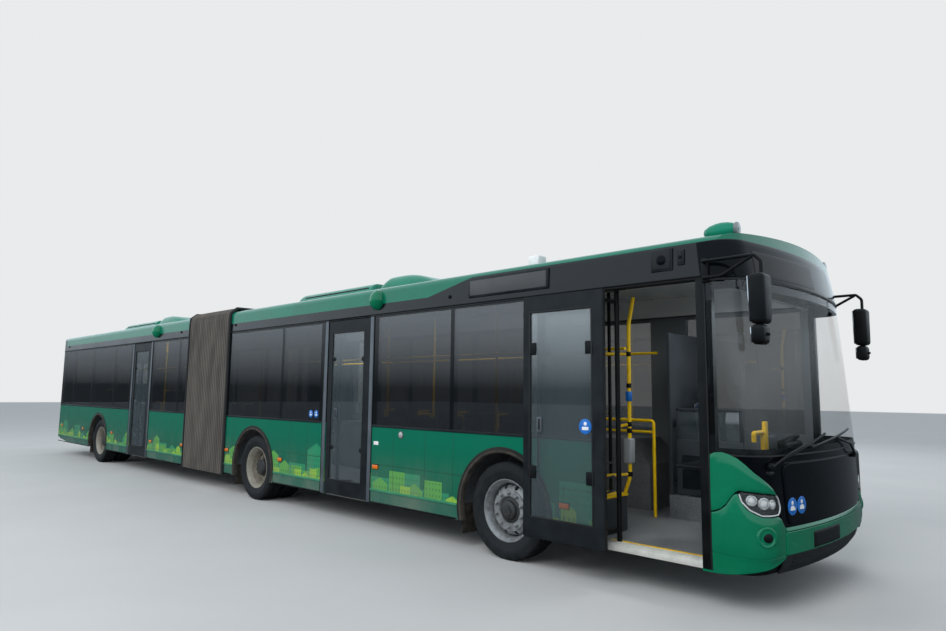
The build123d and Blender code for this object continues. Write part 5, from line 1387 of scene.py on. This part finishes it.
# Cab: dashboard, screens, steering wheel, and a hinged half door with a glass over it
nose_band(((1.3, 1.06), (1.3, 1.15)), satin_black, -0.03, 0.02, 48, 4)
bar((8.1, 8.86), (-1.16, 0.22), (1.04, 1.075), satin_black, 0.012)
bar((8.36, 8.88), (0.24, 1.16), (0.64, 1.13), satin_black, 0.05, 4)
bar((8.3, 8.4), (0.55, 1.02), (1.02, 1.19), satin_black, 0.03, 4)
bar((8.288, 8.3), (0.6, 0.97), (1.045, 1.165), gloss_black)
bar((8.26, 8.33), (0.26, 0.5), (1.1, 1.26), cab_grey, 0.014, 3)
bar((7.3, 7.34), (0.25, 1.2), (0.6, 2.3), cab_grey, 0.01)
bar((8.1, 8.34), (0.25, 0.29), (0.6, 0.985), cab_grey, 0.008)
tube([(8.36, 0.05, 1.06), (8.36, 0.05, 1.3), (8.36, -0.16, 1.3), (8.36, -0.16, 1.22)],
     0.022, rail_yellow, 0.05)
bar((8.34, 8.38), (0.08, 0.14), (1.06, 1.4), rail_yellow, 0.01)
tube([(8.16, 0.78, 1.01), (8.26, 0.78, 0.78)], 0.045, satin_black)
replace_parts(gather("cab_fittings", "front_section"), "driver_cab")

cab_leaf_y = (0.256, 0.284)
bar((7.386, 8.095), cab_leaf_y, (0.615, 1.18), cab_grey, 0.01, 3)
for x in (7.386, 8.055):
    bar((x, x + 0.04), cab_leaf_y, (1.18, 1.5), cab_grey, 0.008)
bar((7.386, 8.095), cab_leaf_y, (1.47, 1.5), cab_grey, 0.008)
bar((7.42, 8.06), (0.267, 0.273), (1.175, 1.475), door_glass, 0.001)
bar((7.96, 8.05), (0.236, 0.256), (1.08, 1.12), satin_black, 0.008, 3)
bar((7.45, 8.03), (0.25, 0.257), (0.68, 1.02), dark_alloy, 0.003)
for z in (0.78, 1.34):
    disc((7.365, 0.27, z), upright, 0.012, 0.08, dark_alloy, 0.002, 16)
    bar((7.365, 7.392), (0.262, 0.278), (z - 0.04, z + 0.04), dark_alloy, 0.002)
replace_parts(gather("cab_half_door", "cab_door"), "cab_door")

bpy.ops.mesh.primitive_torus_add(major_radius=0.218, minor_radius=0.0145,
                                 major_segments=64, minor_segments=14)
lay(settle(bpy.context.object), black_rubber, 60)
for degrees in (45, 135, 225, 315):
    spoke = Matrix.Rotation(math.radians(degrees), 4, "Z")
    tube([spoke @ Vector((0.03, 0, -0.018)), spoke @ Vector((0.21, 0, 0))], 0.01, satin_black)
disc((0, 0, -0.016), upright, 0.062, 0.03, satin_black, 0.01)
disc((0, 0, -0.075), upright, 0.03, 0.09, satin_black, 0.004, 24)
move(Matrix.Translation((8.23, 0.78, 1.14)) @ Matrix.Rotation(math.radians(-30), 4, "Y"), bench)
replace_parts(gather("steering_ring", "steering_wheel"), "steering_wheel")


# Rear end: lamp bezels, window rubber, plate, handles and slotted lid
for side in sides:
    for z in (1.32, 1.59, 2.39):
        bar((-8.997, -8.985), (side * 0.99, side * 1.12), (z, z + 0.22), satin_black, 0.006)
    bar((-9.0, -8.988), (side * 1.0, side * 1.1), (0.64, 0.69), red_lens, 0.006)
    bar((-8.996, -8.984), (side * 0.948, side * 0.96), (1.474, 2.362), black_rubber, 0.003)
for z in (1.474, 2.35):
    bar((-8.996, -8.984), (-0.96, 0.96), (z, z + 0.012), black_rubber, 0.003)
bar((-8.997, -8.988), (-0.3, 0.3), (2.42, 2.47), red_lens, 0.006)
bar((-9.0, -8.99), (-1.04, 1.04), (0.575, 0.6), satin_black, 0.003)
gather("rear_fittings", "rear_section")
bar((-9.0, -8.988), (-0.26, 0.26), (0.7, 0.81), satin_black)
bar((-9.0, -8.988), (-0.12, 0.12), (0.85, 0.885), black_rubber, 0.006)
for y in (-0.65, 0.65):
    for k in range(6):
        z = 0.853 + 0.042 * k
        bar((-8.999, -8.989), (y - 0.16, y + 0.16), (z, z + 0.008), green_enamel, 0.002)
gather("lid_fittings", "engine_lid")


# Stage, world and lamps
def stage_floor(name):
    """Pale concrete, faintly clouded, with a fine grain; to glossy rays it is painted dark grey, a painted
    dark reflection of the ground.
    """
    slab = Finish(name, rough=0.75)
    concrete = slab.noise(1.6, 4.0).mix("c6c8c9", "d4d5d5")
    glossy = Value(slab.tree, add_node(slab.tree, "LightPath").outputs["Is Glossy Ray"])
    # painted reflection: glossy rays see the floor dark grey instead of pale, so the bus's glossy surfaces
    # mirror a dark ground
    return slab.made(glossy.mix(concrete, "34383b"), None, slab.noise(0.02, 3.0), 0.001, 0.3)


bpy.ops.mesh.primitive_grid_add(x_subdivisions=4, y_subdivisions=4, size=160)
bench.append(paint(settle(bpy.context.object), stage_floor("pale_concrete_floor")))
gather("stage_floor")

world = bpy.data.worlds.new("studio")
world.use_nodes = True
scene.world = world
sky = world.node_tree
sky.nodes.clear()
rays = add_node(sky, "LightPath").outputs
direct = {0: rays["Is Camera Ray"], 1: rays["Is Transmission Ray"]}
seen = add_node(sky, "Math", direct, operation="MAXIMUM").outputs[0]
back = add_node(sky, "Background", {"Color": linear("e9ebec"), "Strength": 1.0}).outputs[0]
soft = add_node(sky, "Background", {"Color": linear("dfe6ec"), "Strength": 0.62}).outputs[0]
rise = add_node(sky, "SeparateXYZ", {0: add_node(sky, "TexCoord").outputs["Generated"]}).outputs[2]
strength = add_node(sky, "MapRange", {0: rise, 1: 0.005, 2: 0.11, 3: 0.08, 4: 1.6}).outputs[0]
mirrored_sky = add_node(sky, "Background", {"Color": linear("d3e0ea"), "Strength": strength}).outputs[0]
gloss = add_node(sky, "MixShader", {0: rays["Is Glossy Ray"], 1: soft, 2: mirrored_sky}).outputs[0]
blend = add_node(sky, "MixShader", {0: seen, 1: gloss, 2: back}).outputs[0]
add_node(sky, "OutputWorld", {"Surface": blend})

lamps = (
    # name, place, aim, size, watts
    ("key", (10.0, -14.0, 12.0), (2.0, 0.0, 1.0), 9.0, 1500.0),
    ("fill", (-8.0, -14.0, 10.0), (-3.0, 0.0, 1.0), 9.0, 900.0),
    ("back", (0.0, 14.0, 12.0), (0.0, 0.0, 1.5), 10.0, 800.0),
    ("cab", (8.0, 0.0, 2.65), (8.0, 0.0, 0.0), 0.8, 14.0),
    ("front_saloon", (4.5, 0.0, 2.72), (4.5, 0.0, 0.0), 1.2, 22.0),
    ("middle_saloon", (1.8, 0.0, 2.72), (1.8, 0.0, 0.0), 1.2, 16.0),
    ("rear_saloon", (-4.5, 0.0, 2.72), (-4.5, 0.0, 0.0), 1.2, 24.0),
)
for name, place, aim, size, watts in lamps:
    lamp = bpy.data.lights.new(name, "AREA")
    lamp.energy = watts
    lamp.size = size
    stand = bpy.data.objects.new(name, lamp)
    turn = (Vector(aim) - Vector(place)).to_track_quat("-Z", "Y").to_matrix().to_4x4()
    stand.matrix_world = Matrix.Translation(place) @ turn
    stand.visible_camera = False
    stand.visible_glossy = False
    stand.visible_transmission = False
    scene.collection.objects.link(stand)
